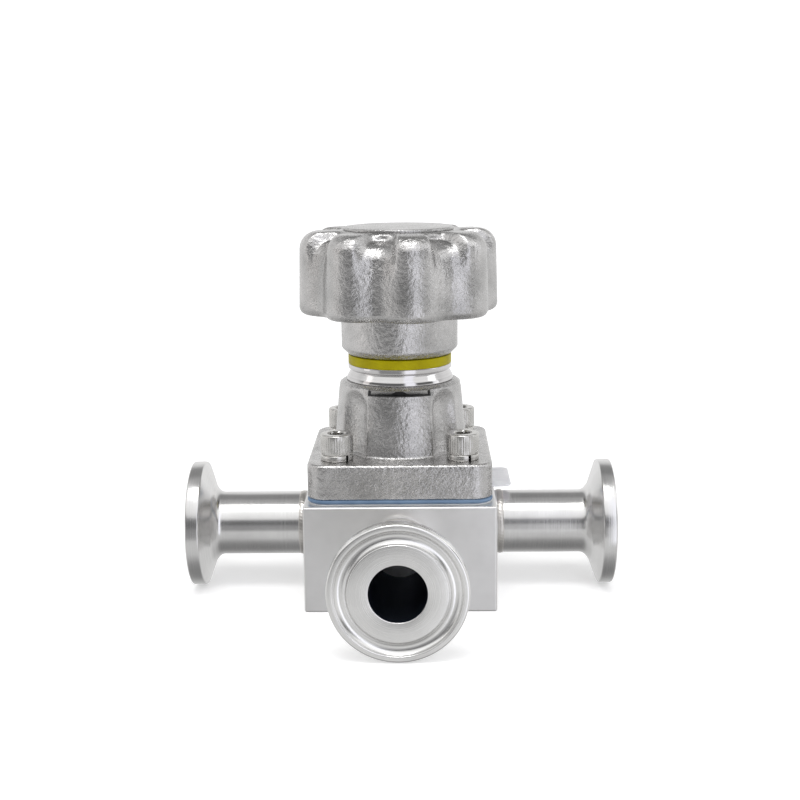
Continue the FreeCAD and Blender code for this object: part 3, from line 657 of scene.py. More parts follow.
@dataclass(frozen=True)
class Finishes:
    """Every finish on the valve."""

    cast: bpy.types.Material
    milled: bpy.types.Material
    run_turned: bpy.types.Material
    front_turned: bpy.types.Material
    stem_turned: bpy.types.Material
    polished: bpy.types.Material
    bright: bpy.types.Material
    # dark steel for the ferrule bores: painted shade where little light reaches
    bore: bpy.types.Material
    weld: bpy.types.Material
    bronze: bpy.types.Material
    yellow: bpy.types.Material
    blue: bpy.types.Material
    white: bpy.types.Material
    black: bpy.types.Material
    # near-black finish for the slot's inner faces: painted shade of the narrow gap
    soot: bpy.types.Material

    @classmethod
    def mix(cls, levels: Levels) -> "Finishes":
        """Make all the finishes."""
        axis_height = levels.port_height * MM
        return cls(
            cast=CastSteel().build(),
            milled=MilledSteel().build(),
            run_turned=TurnedSteel("run_steel_turned", Axis.X, axis_height, (0.76, 0.755, 0.75),
                                   0.19).build(),
            front_turned=TurnedSteel("front_steel_turned", Axis.Y, axis_height,
                                     (0.88, 0.875, 0.865), 0.22).build(),
            stem_turned=TurnedSteel("stem_steel_turned", Axis.Z, 0.0).build(),
            polished=TurnedSteel("collar_steel_polished", Axis.Z, 0.0, (0.66, 0.65, 0.65),
                                 0.09, 0.000004).build(),
            bright=TurnedSteel("screw_steel_bright", Axis.Z, 0.0, (0.64, 0.63, 0.61),
                               0.22, 0.000006, 2600.0).build(),
            # near-black blue steel: painted shade inside the bores, not the steel's own colour
            bore=TurnedSteel("bore_steel_painted_shade", Axis.X, axis_height, (0.09, 0.11, 0.16),
                             0.4).build(),
            weld=TurnedSteel("weld_bead_steel", Axis.X, axis_height, (0.66, 0.64, 0.61),
                             0.32, 0.00001, 1400.0).build(),
            bronze=TurnedSteel("washer_bronze", Axis.Z, 0.0, (0.62, 0.43, 0.20), 0.3).build(),
            yellow=Moulded("ring_plastic_yellow", (0.33, 0.28, 0.001), (0.42, 0.37, 0.002),
                           0.42, ior=1.2).build(),
            blue=Moulded("diaphragm_rubber_blue", (0.11, 0.18, 0.29), (0.17, 0.26, 0.39),
                         0.55, 2600.0, 0.00005).build(),
            white=Moulded("diaphragm_ply_white", (0.74, 0.74, 0.78), (0.84, 0.84, 0.87),
                          0.42, 900.0, 0.00002, 0.6).build(),
            black=Moulded("seal_rubber_black", (0.02, 0.02, 0.02), (0.04, 0.04, 0.04),
                          0.5).build(),
            # painted shade: the slot's inside is cast steel, darkened here because little light
            # gets in
            soot=Moulded("slot_painted_shade", (0.07, 0.07, 0.07), (0.12, 0.12, 0.12), 0.7).build(),
        )


# ---------------------------------------------------------------- ports


@dataclass
class Ferrule:
    """Tube with a clamp rim, turned from the sealing face inward."""

    name: str
    node: str
    reach: float
    spigot: float
    turn: Matrix
    tube_radius: float = 8.6
    bore_radius: float = 7.0
    rim_radius: float = 17.0
    rim_thickness: float = 3.6
    rim_slope: float = 20.0
    root_radius: float = 10.6
    root_round: float = 2.6
    edge_round: float = 0.55
    lip_round: float = 0.25
    groove_radius: float = 13.75
    groove_half: float = 1.75
    groove_depth: float = 1.3
    bead_sink: float = 0.3
    bead_half: float = 1.1
    bead_centre: float = 1.9
    bead_curve: float = 2.08
    bead_ripples: float = 58.0
    bead_ripple: float = 0.08
    bead_wander: float = 0.05
    steps: int = 160

    def outline(self) -> Outline:
        """Half section: height 0 is the sealing face, and the tube runs up."""
        length = self.reach - self.spigot
        curve = (self.groove_half**2 + self.groove_depth**2) / (2.0 * self.groove_depth)
        centre = (self.groove_radius, self.groove_depth - curve)
        half_angle = math.degrees(math.asin(self.groove_half / curve))
        slope = math.tan(math.radians(self.rim_slope))
        back = self.rim_thickness + (self.rim_radius - self.root_radius) * slope
        meet = back + (self.root_radius - self.tube_radius) * 0.8
        groove = arc(centre, curve, 90.0 + half_angle, 90.0 - half_angle, 11)
        corners = [
            (self.bore_radius, 0.0, self.lip_round),
            (groove[0][0], 0.0, self.lip_round),
            *groove[1:-1],
            (groove[-1][0], 0.0, self.lip_round),
            (self.rim_radius, 0.0, self.edge_round),
            (self.rim_radius, self.rim_thickness, self.edge_round),
            (self.root_radius, back, self.root_round * 1.6),
            (self.tube_radius, meet, self.root_round),
            (self.tube_radius, length, 0.0),
            (self.bore_radius, length, 0.0),
        ]
        return Outline.cornered(corners, segments=5).dense(4.0)

    def build(self, levels: Levels, steel: bpy.types.Material, bore: bpy.types.Material,
              weld: bpy.types.Material) -> None:
        """Make the ferrule and the weld bead that joins it to the block.

        Args:
            levels: heights from the frame.
            steel: finish of the ferrule.
            bore: dark steel inside the tube, painted shade of the unlit bore.
            weld: finish of the bead.
        """
        lift = Matrix.Translation((0.0, 0.0, levels.port_height))
        out = Matrix.Translation((0.0, 0.0, -self.reach))
        place = lift @ self.turn @ out
        body = finish_mesh(turn_mesh(self.outline(), self.steps), self.name, place)
        settle(body, Body.VALVE, steel, "turned_steel", self.node)
        upright = place.inverted()
        # faces inside the bore get the dark steel, painted shade of the unlit tube
        paint(body, bore,
              lambda middle: (upright @ middle).xy.length < self.bore_radius + 0.05)
        seam = self.reach - self.spigot
        sunk = self.tube_radius - self.bead_sink
        bead = Outline.cornered(
            [(sunk, seam - self.bead_half, 0.0)]
            + arc((self.tube_radius - self.bead_centre, seam), self.bead_curve, -24.0, 24.0, 9)
            + [(sunk, seam + self.bead_half, 0.0)]
        )

        def ripple(radius: float, height: float, around: float) -> tuple[float, float]:
            proud = max(radius - self.tube_radius + 0.1, 0.0)
            wave = math.sin(self.bead_ripples * around + 2.0 * math.cos(height * 1.7))
            wander = self.bead_wander * math.sin(5.0 * around)
            return radius + proud * self.bead_ripple * wave, height + wander

        ring = finish_mesh(turn_mesh(bead, self.steps * 2, ripple), f"{self.name}_weld", place)
        settle(ring, Body.VALVE, weld, "turned_steel")


@dataclass
class Ports:
    """The three ferrules."""

    levels: Levels

    def build(self, finishes: Finishes) -> None:
        """Make every ferrule in its place."""
        levels = self.levels
        run, front = finishes.run_turned, finishes.front_turned
        quarter = math.pi / 2.0
        ports = (
            ("right", levels.run_half, Matrix.Rotation(-quarter, 4, "Y"), run),
            ("left", levels.run_half, Matrix.Rotation(quarter, 4, "Y"), run),
            ("front", levels.front_reach, Matrix.Rotation(-quarter, 4, "X"), front),
        )
        for side, reach, turn, steel in ports:
            Ferrule(f"{side}_ferrule", f"ferrule_{side}", reach, levels.spigot_face, turn).build(
                levels, steel, finishes.bore, finishes.weld)


# ---------------------------------------------------------------- diaphragm


@dataclass
class Diaphragm:
    """White face ply with its tab, and the rubber backing above it."""

    levels: Levels
    face_thickness: float = 0.5
    corner: float = 5.0
    dish_radius: float = 15.4
    bulge: float = 0.18
    tab_half: float = 9.75
    tab_middle: float = 4.2
    tab_reach: float = 5.9
    tab_overlap: float = 3.0
    tab_corner: float = 2.0
    tab_rise: float = 0.1
    tab_edge: float = 0.12
    tab_cuts: tuple[float, ...] = (0.25, 0.45, 0.65, 0.85)
    edge_curl: float = 0.25
    steps: int = 256

    def ply(self, low: float, high: float, floor: float) -> bmesh.types.BMesh:
        """One ply: a flat square border and a dished middle.

        Args:
            low: height of the border's underside.
            high: height of the border's top.
            floor: height of the dish's lowest point.

        Returns:
            A closed mesh.
        """
        thick = high - low
        depth = low - floor
        curve = (self.dish_radius**2 + depth**2) / (2.0 * depth)
        half_angle = math.degrees(math.asin(self.dish_radius / curve))
        centre = (0.0, floor + curve)
        under = arc(centre, curve, -90.0, -90.0 + half_angle, 18)
        over = arc(centre, curve - thick, -90.0 + half_angle, -90.0, 18)
        edge = self.levels.plate_half
        swell = edge - self.edge_curl
        corners = [
            *under,
            (swell, low, 0.0),
            *arc((swell, (low + high) / 2.0), thick / 2.0, -80.0, 80.0, 7),
            (swell, high, 0.0),
            *over,
        ]
        corners[0] = (0.0, corners[0][1], 0.0)
        corners[-1] = (0.0, corners[-1][1], 0.0)
        outline = Outline.cornered(corners)

        def to_square(radius: float, height: float, around: float) -> tuple[float, float]:
            share = smooth_step(self.dish_radius, edge - 1.0, radius)
            reach = square_reach(around, edge, self.corner)
            return radius + share * (reach - edge - self.bulge), height

        return turn_mesh(outline, self.steps, to_square)

    def tab(self, low: float, high: float) -> bmesh.types.BMesh:
        """Marking tab that sticks out on the right.

        Args:
            low: height of its underside at the flange.
            high: height of its top at the flange.

        Returns:
            A closed mesh.
        """
        bm = bmesh.new()
        inner = self.levels.plate_half - self.tab_overlap
        outer = self.levels.plate_half + self.tab_reach
        size = (outer - inner, 2.0 * self.tab_half, high - low)
        middle = ((inner + outer) / 2.0, self.tab_middle, (low + high) / 2.0)
        bmesh.ops.create_cube(bm, size=1.0,
                              matrix=Matrix.Translation(middle) @ Matrix.Diagonal((*size, 1.0)))
        corners = [e for e in bm.edges if abs(e.verts[0].co.z - e.verts[1].co.z) > TINY
                   and e.verts[0].co.x > middle[0]]
        bmesh.ops.bevel(bm, geom=corners, offset=self.tab_corner, segments=6, profile=0.5,
                        affect="EDGES", material=-1)
        for share in self.tab_cuts:
            cut = inner + (outer - inner) * share
            bmesh.ops.bisect_plane(bm, geom=bm.verts[:] + bm.edges[:] + bm.faces[:],
                                   plane_co=(cut, 0, 0), plane_no=(1, 0, 0))
        rims = [e for e in bm.edges if e.calc_face_angle(0.0) > 1.0]
        bmesh.ops.bevel(bm, geom=rims, offset=self.tab_edge, segments=2, profile=0.5,
                        affect="EDGES", material=-1)
        for vert in bm.verts:
            out = smooth_step(inner + self.tab_overlap, outer, vert.co.x)
            vert.co.z += self.tab_rise * out
        return bm

    def build(self, finishes: Finishes) -> None:
        """Make both plies."""
        levels = self.levels
        seam = levels.block_top + self.face_thickness
        floor = levels.dish_floor
        face = join_meshes([self.ply(levels.block_top, seam, floor),
                            self.tab(levels.block_top, seam)])
        backing = self.ply(seam, levels.flange_bottom, floor + self.face_thickness)
        plies = [
            (face, "face_ply", finishes.white, "white_ply", "diaphragm_face", levels.block_top,
             floor),
            (backing, "backing_ply", finishes.blue, "blue_rubber", "diaphragm_backing",
             seam, floor + self.face_thickness),
        ]
        for mesh, name, finish, slot, node, start, end in plies:
            piece = finish_mesh(mesh, name)
            dress(piece, finish)
            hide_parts(node)
            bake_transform(piece)
            LOG.info("%s: %d faces", name, len(piece.data.polygons))


# ---------------------------------------------------------------- bonnet


@dataclass
class Bonnet:
    """Cast bonnet: a square flange and a tower with four hollows and a slot."""

    levels: Levels
    corner: float = 5.0
    flange_round: float = 0.9
    tower_base: float = 18.0
    tower_middle: float = 16.9
    tower_upper: float = 16.5
    tower_top: float = 14.8
    middle_rise: float = 12.3
    base_round: float = 0.9
    hollow_radius: float = 7.6
    hollow_distance: float = 23.33
    hollow_rise: float = 12.6
    hollow_lean: float = 3.8
    hollow_blend: float = 0.55
    slot_half: float = 8.1
    slot_rise: float = 16.3
    slot_height: float = 1.5
    slot_depth: float = 3.3
    slot_lip: float = 0.06
    slot_margin: float = 0.3
    side_margin: float = 0.5
    foot_margin: float = 1.2
    square_from: float = 1.4
    square_to: float = 1.0
    chamber_radius: float = 17.5
    chamber_rise: float = 7.5
    guide_radius: float = 12.0
    bush_radius: float = 8.0
    bush_seat_rise: float = 9.3
    steps: int = 432

    def outline(self) -> Outline:
        """Half section of tower, flange and bores."""
        levels = self.levels
        top = levels.flange_top
        slot_low = top + self.slot_rise
        slot_high = slot_low + self.slot_height
        side = self.tower_upper
        corners = [
            (self.chamber_radius, levels.flange_bottom, 0.2),
            (levels.plate_half, levels.flange_bottom, 0.5),
            (levels.plate_half, top, self.flange_round),
            (self.tower_base, top, self.base_round),
            (self.tower_middle, top + self.middle_rise, 4.0),
            (side, slot_low, 0.0),
            (side - 0.02, slot_low + self.slot_lip, 0.0),
            (side - 0.28, slot_high - self.slot_lip, 0.0),
            (side - 0.32, slot_high, 0.0),
            (side - 0.9, slot_high + 0.4, 0.5),
            (self.tower_top, levels.tower_face, 0.4),
            (self.bush_radius, levels.tower_face, 0.1),
            (self.bush_radius, top + self.bush_seat_rise, 0.1),
            (self.guide_radius, top + self.bush_seat_rise, 0.1),
            (self.guide_radius, levels.flange_bottom + self.chamber_rise, 0.1),
            (self.chamber_radius, levels.flange_bottom + self.chamber_rise, 0.1),
        ]
        return Outline.cornered(corners, segments=6).dense(0.8)

    def hollow_reach(self, rise: float, around: float) -> float:
        """How far out the nearest hollow lets the tower go.

        Args:
            rise: height above the flange.
            around: direction in radians.

        Returns:
            A radius, which is large away from a hollow.
        """
        far = 99.0
        off = (around % (math.pi / 2.0)) - math.pi / 4.0
        over = max(rise - self.hollow_rise, 0.0)
        if over >= self.hollow_radius:
            return far
        radius = math.sqrt(self.hollow_radius**2 - over**2)
        distance = self.hollow_distance - rise * math.tan(math.radians(self.hollow_lean))
        inside = radius**2 - (distance * math.sin(off)) ** 2
        return distance * math.cos(off) - math.sqrt(inside) if inside > 0.0 else far

    def shape(self, radius: float, height: float, around: float) -> tuple[float, float]:
        """Move a turned point to the flange's square, a hollow or the slot."""
        levels = self.levels
        rise = height - levels.flange_top
        outside = radius > self.tower_top - self.side_margin
        if outside and rise > -TINY:
            if radius < self.tower_base + self.foot_margin:
                limit = self.hollow_reach(max(rise, 0.0), around)
                foot = smooth_step(0.0, self.base_round, rise)
                hollowed = smooth_min(radius, limit, self.hollow_blend)
                fillet = self.base_round * (1.0 - foot) ** 2
                if limit < radius:
                    hollowed = min(radius, hollowed + fillet)
                radius = hollowed
            low = self.slot_rise + self.slot_lip * 0.5
            high = self.slot_rise + self.slot_height - self.slot_lip * 0.5
            across = abs(radius * math.cos(around))
            if low < rise < high and math.sin(around) < 0.0 and across < self.slot_half:
                radius -= self.slot_depth
        share = smooth_step(self.tower_base + self.square_from,
                            levels.plate_half - self.square_to, radius)
        if rise < TINY and share > 0.0:
            reach = square_reach(around, levels.plate_half, self.corner)
            radius += share * (reach - levels.plate_half)
        return radius, height

    def in_slot(self, middle: Vector) -> bool:
        """Whether a face with this middle is inside the slot."""
        slot = self.levels.flange_top + self.slot_rise
        level = slot - self.slot_margin < middle.z < slot + self.slot_height + self.slot_margin
        front = middle.y < 0.0 and abs(middle.x) < self.slot_half + 0.5
        inner, outer = self.guide_radius + self.slot_margin, self.tower_upper - 0.8
        return level and front and inner < middle.xy.length < outer

    def build(self, finishes: Finishes) -> None:
        """Make the casting."""
        bm = turn_mesh(self.outline(), self.steps, self.shape)
        casting = finish_mesh(bm, "bonnet_casting", sharp=50.0)
        settle(casting, Body.VALVE, finishes.cast, "cast_steel", "bonnet")
        # faces inside the slot get the dark finish, painted shade of the gap
        paint(casting, finishes.soot, self.in_slot)


# ---------------------------------------------------------------- screws


@dataclass
class Screws:
    """Four socket-head screws and their split washers."""

    levels: Levels
    head_radius: float = 4.25
    shank_radius: float = 2.5
    hex_half: float = 2.0
    socket_depth: float = 2.6
    rim_round: float = 0.5
    ridges: int = 42
    ridge_depth: float = 0.1
    washer_inner: float = 2.8
    washer_gap: float = 0.75
    gap_angles: tuple[float, ...] = (-47.0, -66.0, 70.0, 160.0)
    first_turn: float = 7.0
    next_turn: float = 13.0

    def head_outline(self) -> Outline:
        """Half section of a screw."""
        levels = self.levels
        top, seat = levels.screw_top, levels.head_seat
        corners = [
            (0.0, top - self.socket_depth - 0.5, 0.0),
            (self.hex_half, top - self.socket_depth, 0.0),
            (self.hex_half, top - 0.35, 0.0),
            (self.hex_half + 0.45, top, 0.1),
            (self.head_radius, top, self.rim_round),
            (self.head_radius, seat, 0.25),
            (self.shank_radius, seat, 0.0),
            (self.shank_radius, levels.screw_foot, 0.3),
            (0.0, levels.screw_foot, 0.0),
        ]
        return Outline.cornered(corners, segments=4).dense(1.2)

    def shape(self, radius: float, height: float, around: float) -> tuple[float, float]:
        """Make the socket six-sided and the head's side ridged."""
        levels = self.levels
        in_socket = height > levels.screw_top - self.socket_depth - 0.01
        if radius < self.hex_half + 0.01 and in_socket:
            off = (around % (math.pi / 3.0)) - math.pi / 6.0
            return radius / math.cos(off), height
        low, high = levels.head_seat + 0.5, levels.screw_top - 0.85
        if radius > self.head_radius - 0.02 and low < height < high:
            wave = 0.5 + 0.5 * math.cos(self.ridges * around)
            fade = smooth_step(low, low + 0.2, height) * (1.0 - smooth_step(high - 0.2, high,
                                                                            height))
            return radius - self.ridge_depth * wave * (0.4 + 0.6 * fade), height
        return radius, height

    def washer(self, angle: float) -> bmesh.types.BMesh:
        """Split washer with its gap turned to an angle in degrees."""
        levels = self.levels
        low, high = levels.flange_top, levels.head_seat
        outline = Outline.cornered(
            [
                (self.washer_inner, low, 0.15),
                (self.head_radius, low, 0.3),
                (self.head_radius, high, 0.3),
                (self.washer_inner, high, 0.15),
            ],
            segments=3,
        )
        gap = self.washer_gap / self.head_radius
        bm = turn_mesh(outline, 72, None, FULL_TURN - gap)
        turn = Matrix.Rotation(math.radians(angle) + gap / 2.0, 4, "Z")
        bmesh.ops.transform(bm, matrix=turn, verts=bm.verts[:])
        return bm

    def build(self, finishes: Finishes) -> None:
        """Make all four screws and washers."""
        arm = self.levels.screw_arm
        corners = [(-arm, -arm), (arm, -arm), (arm, arm), (-arm, arm)]
        heads = []
        washers = []
        for number, ((x, y), angle) in enumerate(zip(corners, self.gap_angles)):
            place = Matrix.Translation((x, y, 0.0))
            screw = turn_mesh(self.head_outline(), self.ridges * 6, self.shape)
            turned = math.radians(self.first_turn + self.next_turn * number)
            spin = place @ Matrix.Rotation(turned, 4, "Z")
            bmesh.ops.transform(screw, matrix=spin, verts=screw.verts[:])
            ring = self.washer(angle)
            bmesh.ops.transform(ring, matrix=place, verts=ring.verts[:])
            heads.append(screw)
            washers.append(ring)
        screws = finish_mesh(join_meshes(heads), "socket_screws", sharp=32.0)
        settle(screws, Body.VALVE, finishes.bright, "screw_steel", "bonnet_screws")
        rings = finish_mesh(join_meshes(washers), "split_washers")
        settle(rings, Body.VALVE, finishes.bright, "screw_steel", "lock_washers")


# ---------------------------------------------------------------- collar and ring


@dataclass
class Collar:
    """Polished bush collar and the yellow position ring on it."""

    levels: Levels
    bore: float = 5.05
    body_radius: float = 8.0
    foot_radius: float = 14.45
    waist_radius: float = 13.35
    top_radius: float = 13.95
    cone_rise: float = 1.0
    waist_rise: float = 2.5
    band_rise: float = 3.4
    nose_radius: float = 9.5
    nose_height: float = 4.0
    ring_height: float = 2.5
    sleeve_inner: float = 11.0
    sleeve_outer: float = 12.4
    steps: int = 192

    def bush_outline(self) -> Outline:
        """Half section of the bush."""
        levels = self.levels
        base, face = levels.tower_face, levels.collar_face
        corners = [
            (self.bore, levels.bush_foot, 0.2),
            (self.body_radius, levels.bush_foot, 0.3),
            (self.body_radius, base, 0.1),
            (self.foot_radius, base, 0.25),
            (self.foot_radius - 0.25, base + self.cone_rise, 0.8),
            (self.waist_radius, base + self.waist_rise, 0.7),
            (self.waist_radius, base + self.waist_rise + 0.3, 0.3),
            (self.top_radius, base + self.band_rise - 0.2, 0.3),
            (self.top_radius, face, 0.25),
            (self.nose_radius, face, 0.1),
            (self.nose_radius, face + self.nose_height, 0.4),
            (self.bore, face + self.nose_height, 0.3),
        ]
        return Outline.cornered(corners, segments=5)

    def ring_outline(self) -> Outline:
        """Half section of the position ring."""
        levels = self.levels
        low = levels.collar_face
        band = low + self.ring_height
        corners = [
            (self.nose_radius, low, 0.1),
            (self.top_radius - 0.05, low, 0.2),
            (self.top_radius - 0.05, band, 0.25),
            (self.sleeve_outer, band, 0.2),
            (self.sleeve_outer, levels.ring_top, 0.3),
            (self.sleeve_inner, levels.ring_top, 0.3),
            (self.sleeve_inner, band, 0.2),
            (self.nose_radius, band, 0.2),
        ]
        return Outline.cornered(corners, segments=4)

    def build(self, finishes: Finishes) -> None:
        """Make the bush and the ring."""
        bush = finish_mesh(turn_mesh(self.bush_outline(), self.steps), "polished_bush")
        settle(bush, Body.VALVE, finishes.polished, "polished_steel", "spindle_bush")
        ring = finish_mesh(turn_mesh(self.ring_outline(), self.steps), "yellow_ring")
        settle(ring, Body.VALVE, finishes.yellow, "yellow_plastic", "indicator_ring")


# ---------------------------------------------------------------- handwheel


@dataclass
class Handwheel:
    """Eight-lobed cast wheel on a skirted hub, and the cap on top."""

    levels: Levels
    hub_radius: float = 15.65
    hub_chamfer: float = 1.7
    hub_height: float = 10.9
    skirt_inner: float = 12.7
    skirt_height: float = 8.5
    tip_radius: float = 26.85
    lobe_offset: float = 18.9
    flute_floor: float = 23.9
    flute_blend: float = 2.0
    lobe_pitch: float = 45.0
    first_lobe: float = 10.0
    scoop_drop: float = 2.3
    scoop_depth: float = 0.9
    scoop_edges: tuple[float, float] = (9.0, 14.0)
    scoop_rise: tuple[float, float] = (0.45, 0.95)
    scoop_reach: tuple[float, float] = (15.5, 23.0)
    top_round: float = 4.6
    foot_round: float = 2.2
    draft: float = 0.55
    hollow_outer: float = 20.8
    roof: float = 5.0
    spindle_bore: float = 5.05
    seat_bore: float = 4.05
    seat_rise: float = 6.5
    recess: float = 9.5
    recess_depth: float = 7.9
    flat_start: float = 15.2
    top_band: float = 1.0
    cap_radius: float = 14.7
    cap_plug: float = 1.3
    steps: int = 480

    def from_lobe(self, around: float) -> float:
        """Degrees between a direction in radians and the nearest lobe's middle."""
        turned = math.degrees(around) - self.first_lobe
        return abs((turned + self.lobe_pitch / 2.0) % self.lobe_pitch - self.lobe_pitch / 2.0)

    def lobe_reach(self, around: float) -> float:
        """Distance from the axis to the wheel's side.

        Args:
            around: direction in radians.

        Returns:
            A radius between the flute's floor and the lobe's tip.
        """
        off = math.radians(self.from_lobe(around))
        lobe = self.tip_radius - self.lobe_offset
        across = self.lobe_offset * math.sin(off)
        inside = lobe**2 - across**2
        reach = self.lobe_offset * math.cos(off) + math.sqrt(inside) if inside > 0.0 else 0.0
        return -smooth_min(-reach, -self.flute_floor, self.flute_blend)

    def outline(self) -> Outline:
        """Half section of wheel and hub."""
        levels = self.levels
        top, hub = levels.wheel_top, levels.hub_bottom
        under = hub + self.hub_height
        roof = top - self.roof
        skirt = hub + self.skirt_height
        corners = [
            (self.recess, top, 0.2),
            (self.recess, top - self.recess_depth, 0.1),
            (self.seat_bore, top - self.recess_depth, 0.1),
            (self.seat_bore, skirt + self.seat_rise, 0.1),
            (self.spindle_bore, skirt + self.seat_rise, 0.1),
            (self.spindle_bore, skirt, 0.1),
            (self.skirt_inner, skirt, 0.4),
            (self.skirt_inner, hub, 0.3),
            (self.hub_radius - self.hub_chamfer, hub, 0.35),
            (self.hub_radius, hub + self.hub_chamfer, 0.8),
            (self.hub_radius, roof, 1.0),
            (self.hollow_outer, roof, 1.0),
            (self.hollow_outer, under, 0.5),
            (self.tip_radius, under, self.foot_round),
            (self.tip_radius, top, self.top_round),
        ]
        return Outline.cornered(corners, segments=10).dense(1.1)

    def shape(self, radius: float, height: float, around: float) -> tuple[float, float]:
        """Move a turned point to the lobed side of the wheel and its scooped top."""
        levels = self.levels
        under = levels.hub_bottom + self.hub_height
        middle = (under + levels.wheel_top) / 2.0
        below_top = height < levels.wheel_top - self.top_band
        in_hollow = radius < self.hollow_outer + 1e-3 and below_top
        if in_hollow or radius < self.flat_start:
            return radius, height
        start = self.flat_start if height > middle else self.hollow_outer
        share = smooth_step(start, self.tip_radius - self.top_round, radius)
        rise = min(max((height - under) / (levels.wheel_top - under), 0.0), 1.0)
        high = smooth_step(*self.scoop_rise, rise)
        scoop = smooth_step(*self.scoop_edges, self.from_lobe(around))
        change = self.lobe_reach(around) - self.tip_radius - self.draft * rise
        change -= self.scoop_depth * scoop * high
        drop = self.scoop_drop * scoop * high * smooth_step(*self.scoop_reach, radius)
        return radius + share * change, height - drop

    def build(self, finishes: Finishes) -> None:
        """Make the wheel and its cap."""
        levels = self.levels
        wheel = finish_mesh(turn_mesh(self.outline(), self.steps, self.shape), "lobed_wheel",
                            sharp=50.0)
        settle(wheel, Body.WHEEL, finishes.cast, "cast_steel", "handwheel", "handwheel_hub")
        corners = [
            (0.0, levels.wheel_top - self.cap_plug, 0.0),
            (self.recess - 0.05, levels.wheel_top - self.cap_plug, 0.2),
            (self.recess - 0.05, levels.wheel_top + 0.02, 0.0),
            (self.cap_radius, levels.wheel_top + 0.02, 0.1),
            (self.cap_radius, levels.cap_top, 0.5),
            (0.0, levels.cap_top, 0.0),
        ]
        bm = turn_mesh(Outline.cornered(corners, segments=5), 160)
        cap = finish_mesh(bm, "wheel_cap")
        settle(cap, Body.WHEEL, finishes.cast, "cast_steel", "handwheel_cap")


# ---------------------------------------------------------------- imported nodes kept


@dataclass
class KeptNodes:
    """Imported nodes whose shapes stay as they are, and what each is finished in."""

    nodes: dict[str, bpy.types.Object]

    def build(self, finishes: Finishes) -> None:
        """Dress every node that stays."""
        wanted = {
            "valve_body": finishes.milled,
            "diaphragm_stud": finishes.stem_turned,
            "compressor": finishes.milled,
            "compressor_pins": finishes.bright,
            "thrust_washer": finishes.bronze,
            "spindle": finishes.stem_turned,
            "stop_ring": finishes.bright,
            "spindle_oring": finishes.black,
            "bush_oring": finishes.black,
            "bush_clip": finishes.bright,
            "handwheel_key": finishes.bright,
            "handwheel_washer": finishes.bright,
            "handwheel_nut": finishes.bright,
        }
        for name, material in wanted.items():
            dress(self.nodes[name], material)
            LOG.info("%s: kept", name)


# ---------------------------------------------------------------- studio


@dataclass
class Surroundings:
    """What the steel mirrors: brightness by height, a dark band and a bright panel."""

    front_levels: tuple[tuple[float, float], ...] = (
        (-1.0, 0.25), (-0.88, 0.36), (-0.7, 0.66), (-0.1, 0.78), (0.05, 0.7), (0.13, 0.16),
        (0.34, 0.13), (0.46, 0.95), (0.68, 1.1), (0.93, 1.25), (0.985, 0.5), (1.0, 0.34),
    )
    back_levels: tuple[tuple[float, float], ...] = (
        (-1.0, 0.25), (-0.8, 0.5), (-0.3, 0.85), (0.0, 0.95), (0.3, 0.95), (0.5, 0.8),
        (0.68, 0.3), (0.92, 0.26), (1.0, 0.34),
    )
    dark_span: tuple[float, float] = (-0.8, 0.08)
    dark_heights: tuple[float, float] = (-0.27, 0.4)
    dark_share: float = 0.72
    bright_span: tuple[float, float] = (0.2, 0.62)
    bright_heights: tuple[float, float] = (-0.45, 0.8)
    panel_colour: tuple[float, float, float] = (1.3, 1.31, 1.4)
    dark_colour: tuple[float, float, float] = (0.16, 0.16, 0.165)
    turn_back: tuple[float, float] = (-0.25, 0.45)

    def build(self) -> None:
        """Lay out the surroundings: pale behind, darker bands and a panel in front."""
        world = bpy.data.worlds.new("surroundings")
        world.use_nodes = True
        tree = Tree(world.node_tree)
        coords = tree.nodes.new("ShaderNodeTexCoord").outputs["Generated"]
        x, y, z = tree.add("ShaderNodeSeparateXYZ", {0: coords}).outputs

        def window(value: bpy.types.NodeSocket, span: tuple[float, float], soft: float
                   ) -> bpy.types.NodeSocket:
            low, high = span
            rise = tree.spread(value, low - soft, low + soft, curve="SMOOTHSTEP")
            fall = tree.spread(value, high + soft, high - soft, curve="SMOOTHSTEP")
            return tree.math("MULTIPLY", rise, fall)

        def ramp(stops: tuple[tuple[float, float], ...]) -> bpy.types.NodeSocket:
            height = tree.math("MULTIPLY", tree.math("ADD", z, 1.0), 0.5)
            node = tree.add("ShaderNodeValToRGB", {"Fac": height})
            elements = node.color_ramp.elements
            while len(elements) < len(stops):
                elements.new(0.5)
            for element, (place, level) in zip(elements, stops):
                element.position = (place + 1.0) / 2.0
                element.color = (level, level, level, 1.0)
            return node.outputs["Color"]

        around = tree.math("ARCTAN2", x, tree.math("MULTIPLY", y, -1.0))
        back = tree.spread(y, *self.turn_back, curve="SMOOTHSTEP")
        level = tree.mix(back, ramp(self.front_levels), ramp(self.back_levels))
        dark = tree.math("MULTIPLY", window(around, self.dark_span, 0.07),
                         window(z, self.dark_heights, 0.05))
        level = tree.mix(tree.math("MULTIPLY", dark, self.dark_share), level, self.dark_colour)
        bright = tree.math("MULTIPLY", window(around, self.bright_span, 0.06),
                           window(z, self.bright_heights, 0.08))
        level = tree.mix(bright, level, self.panel_colour)
        tree.feed(tree.nodes["Background"].inputs["Color"], level)
        bpy.context.scene.world = world


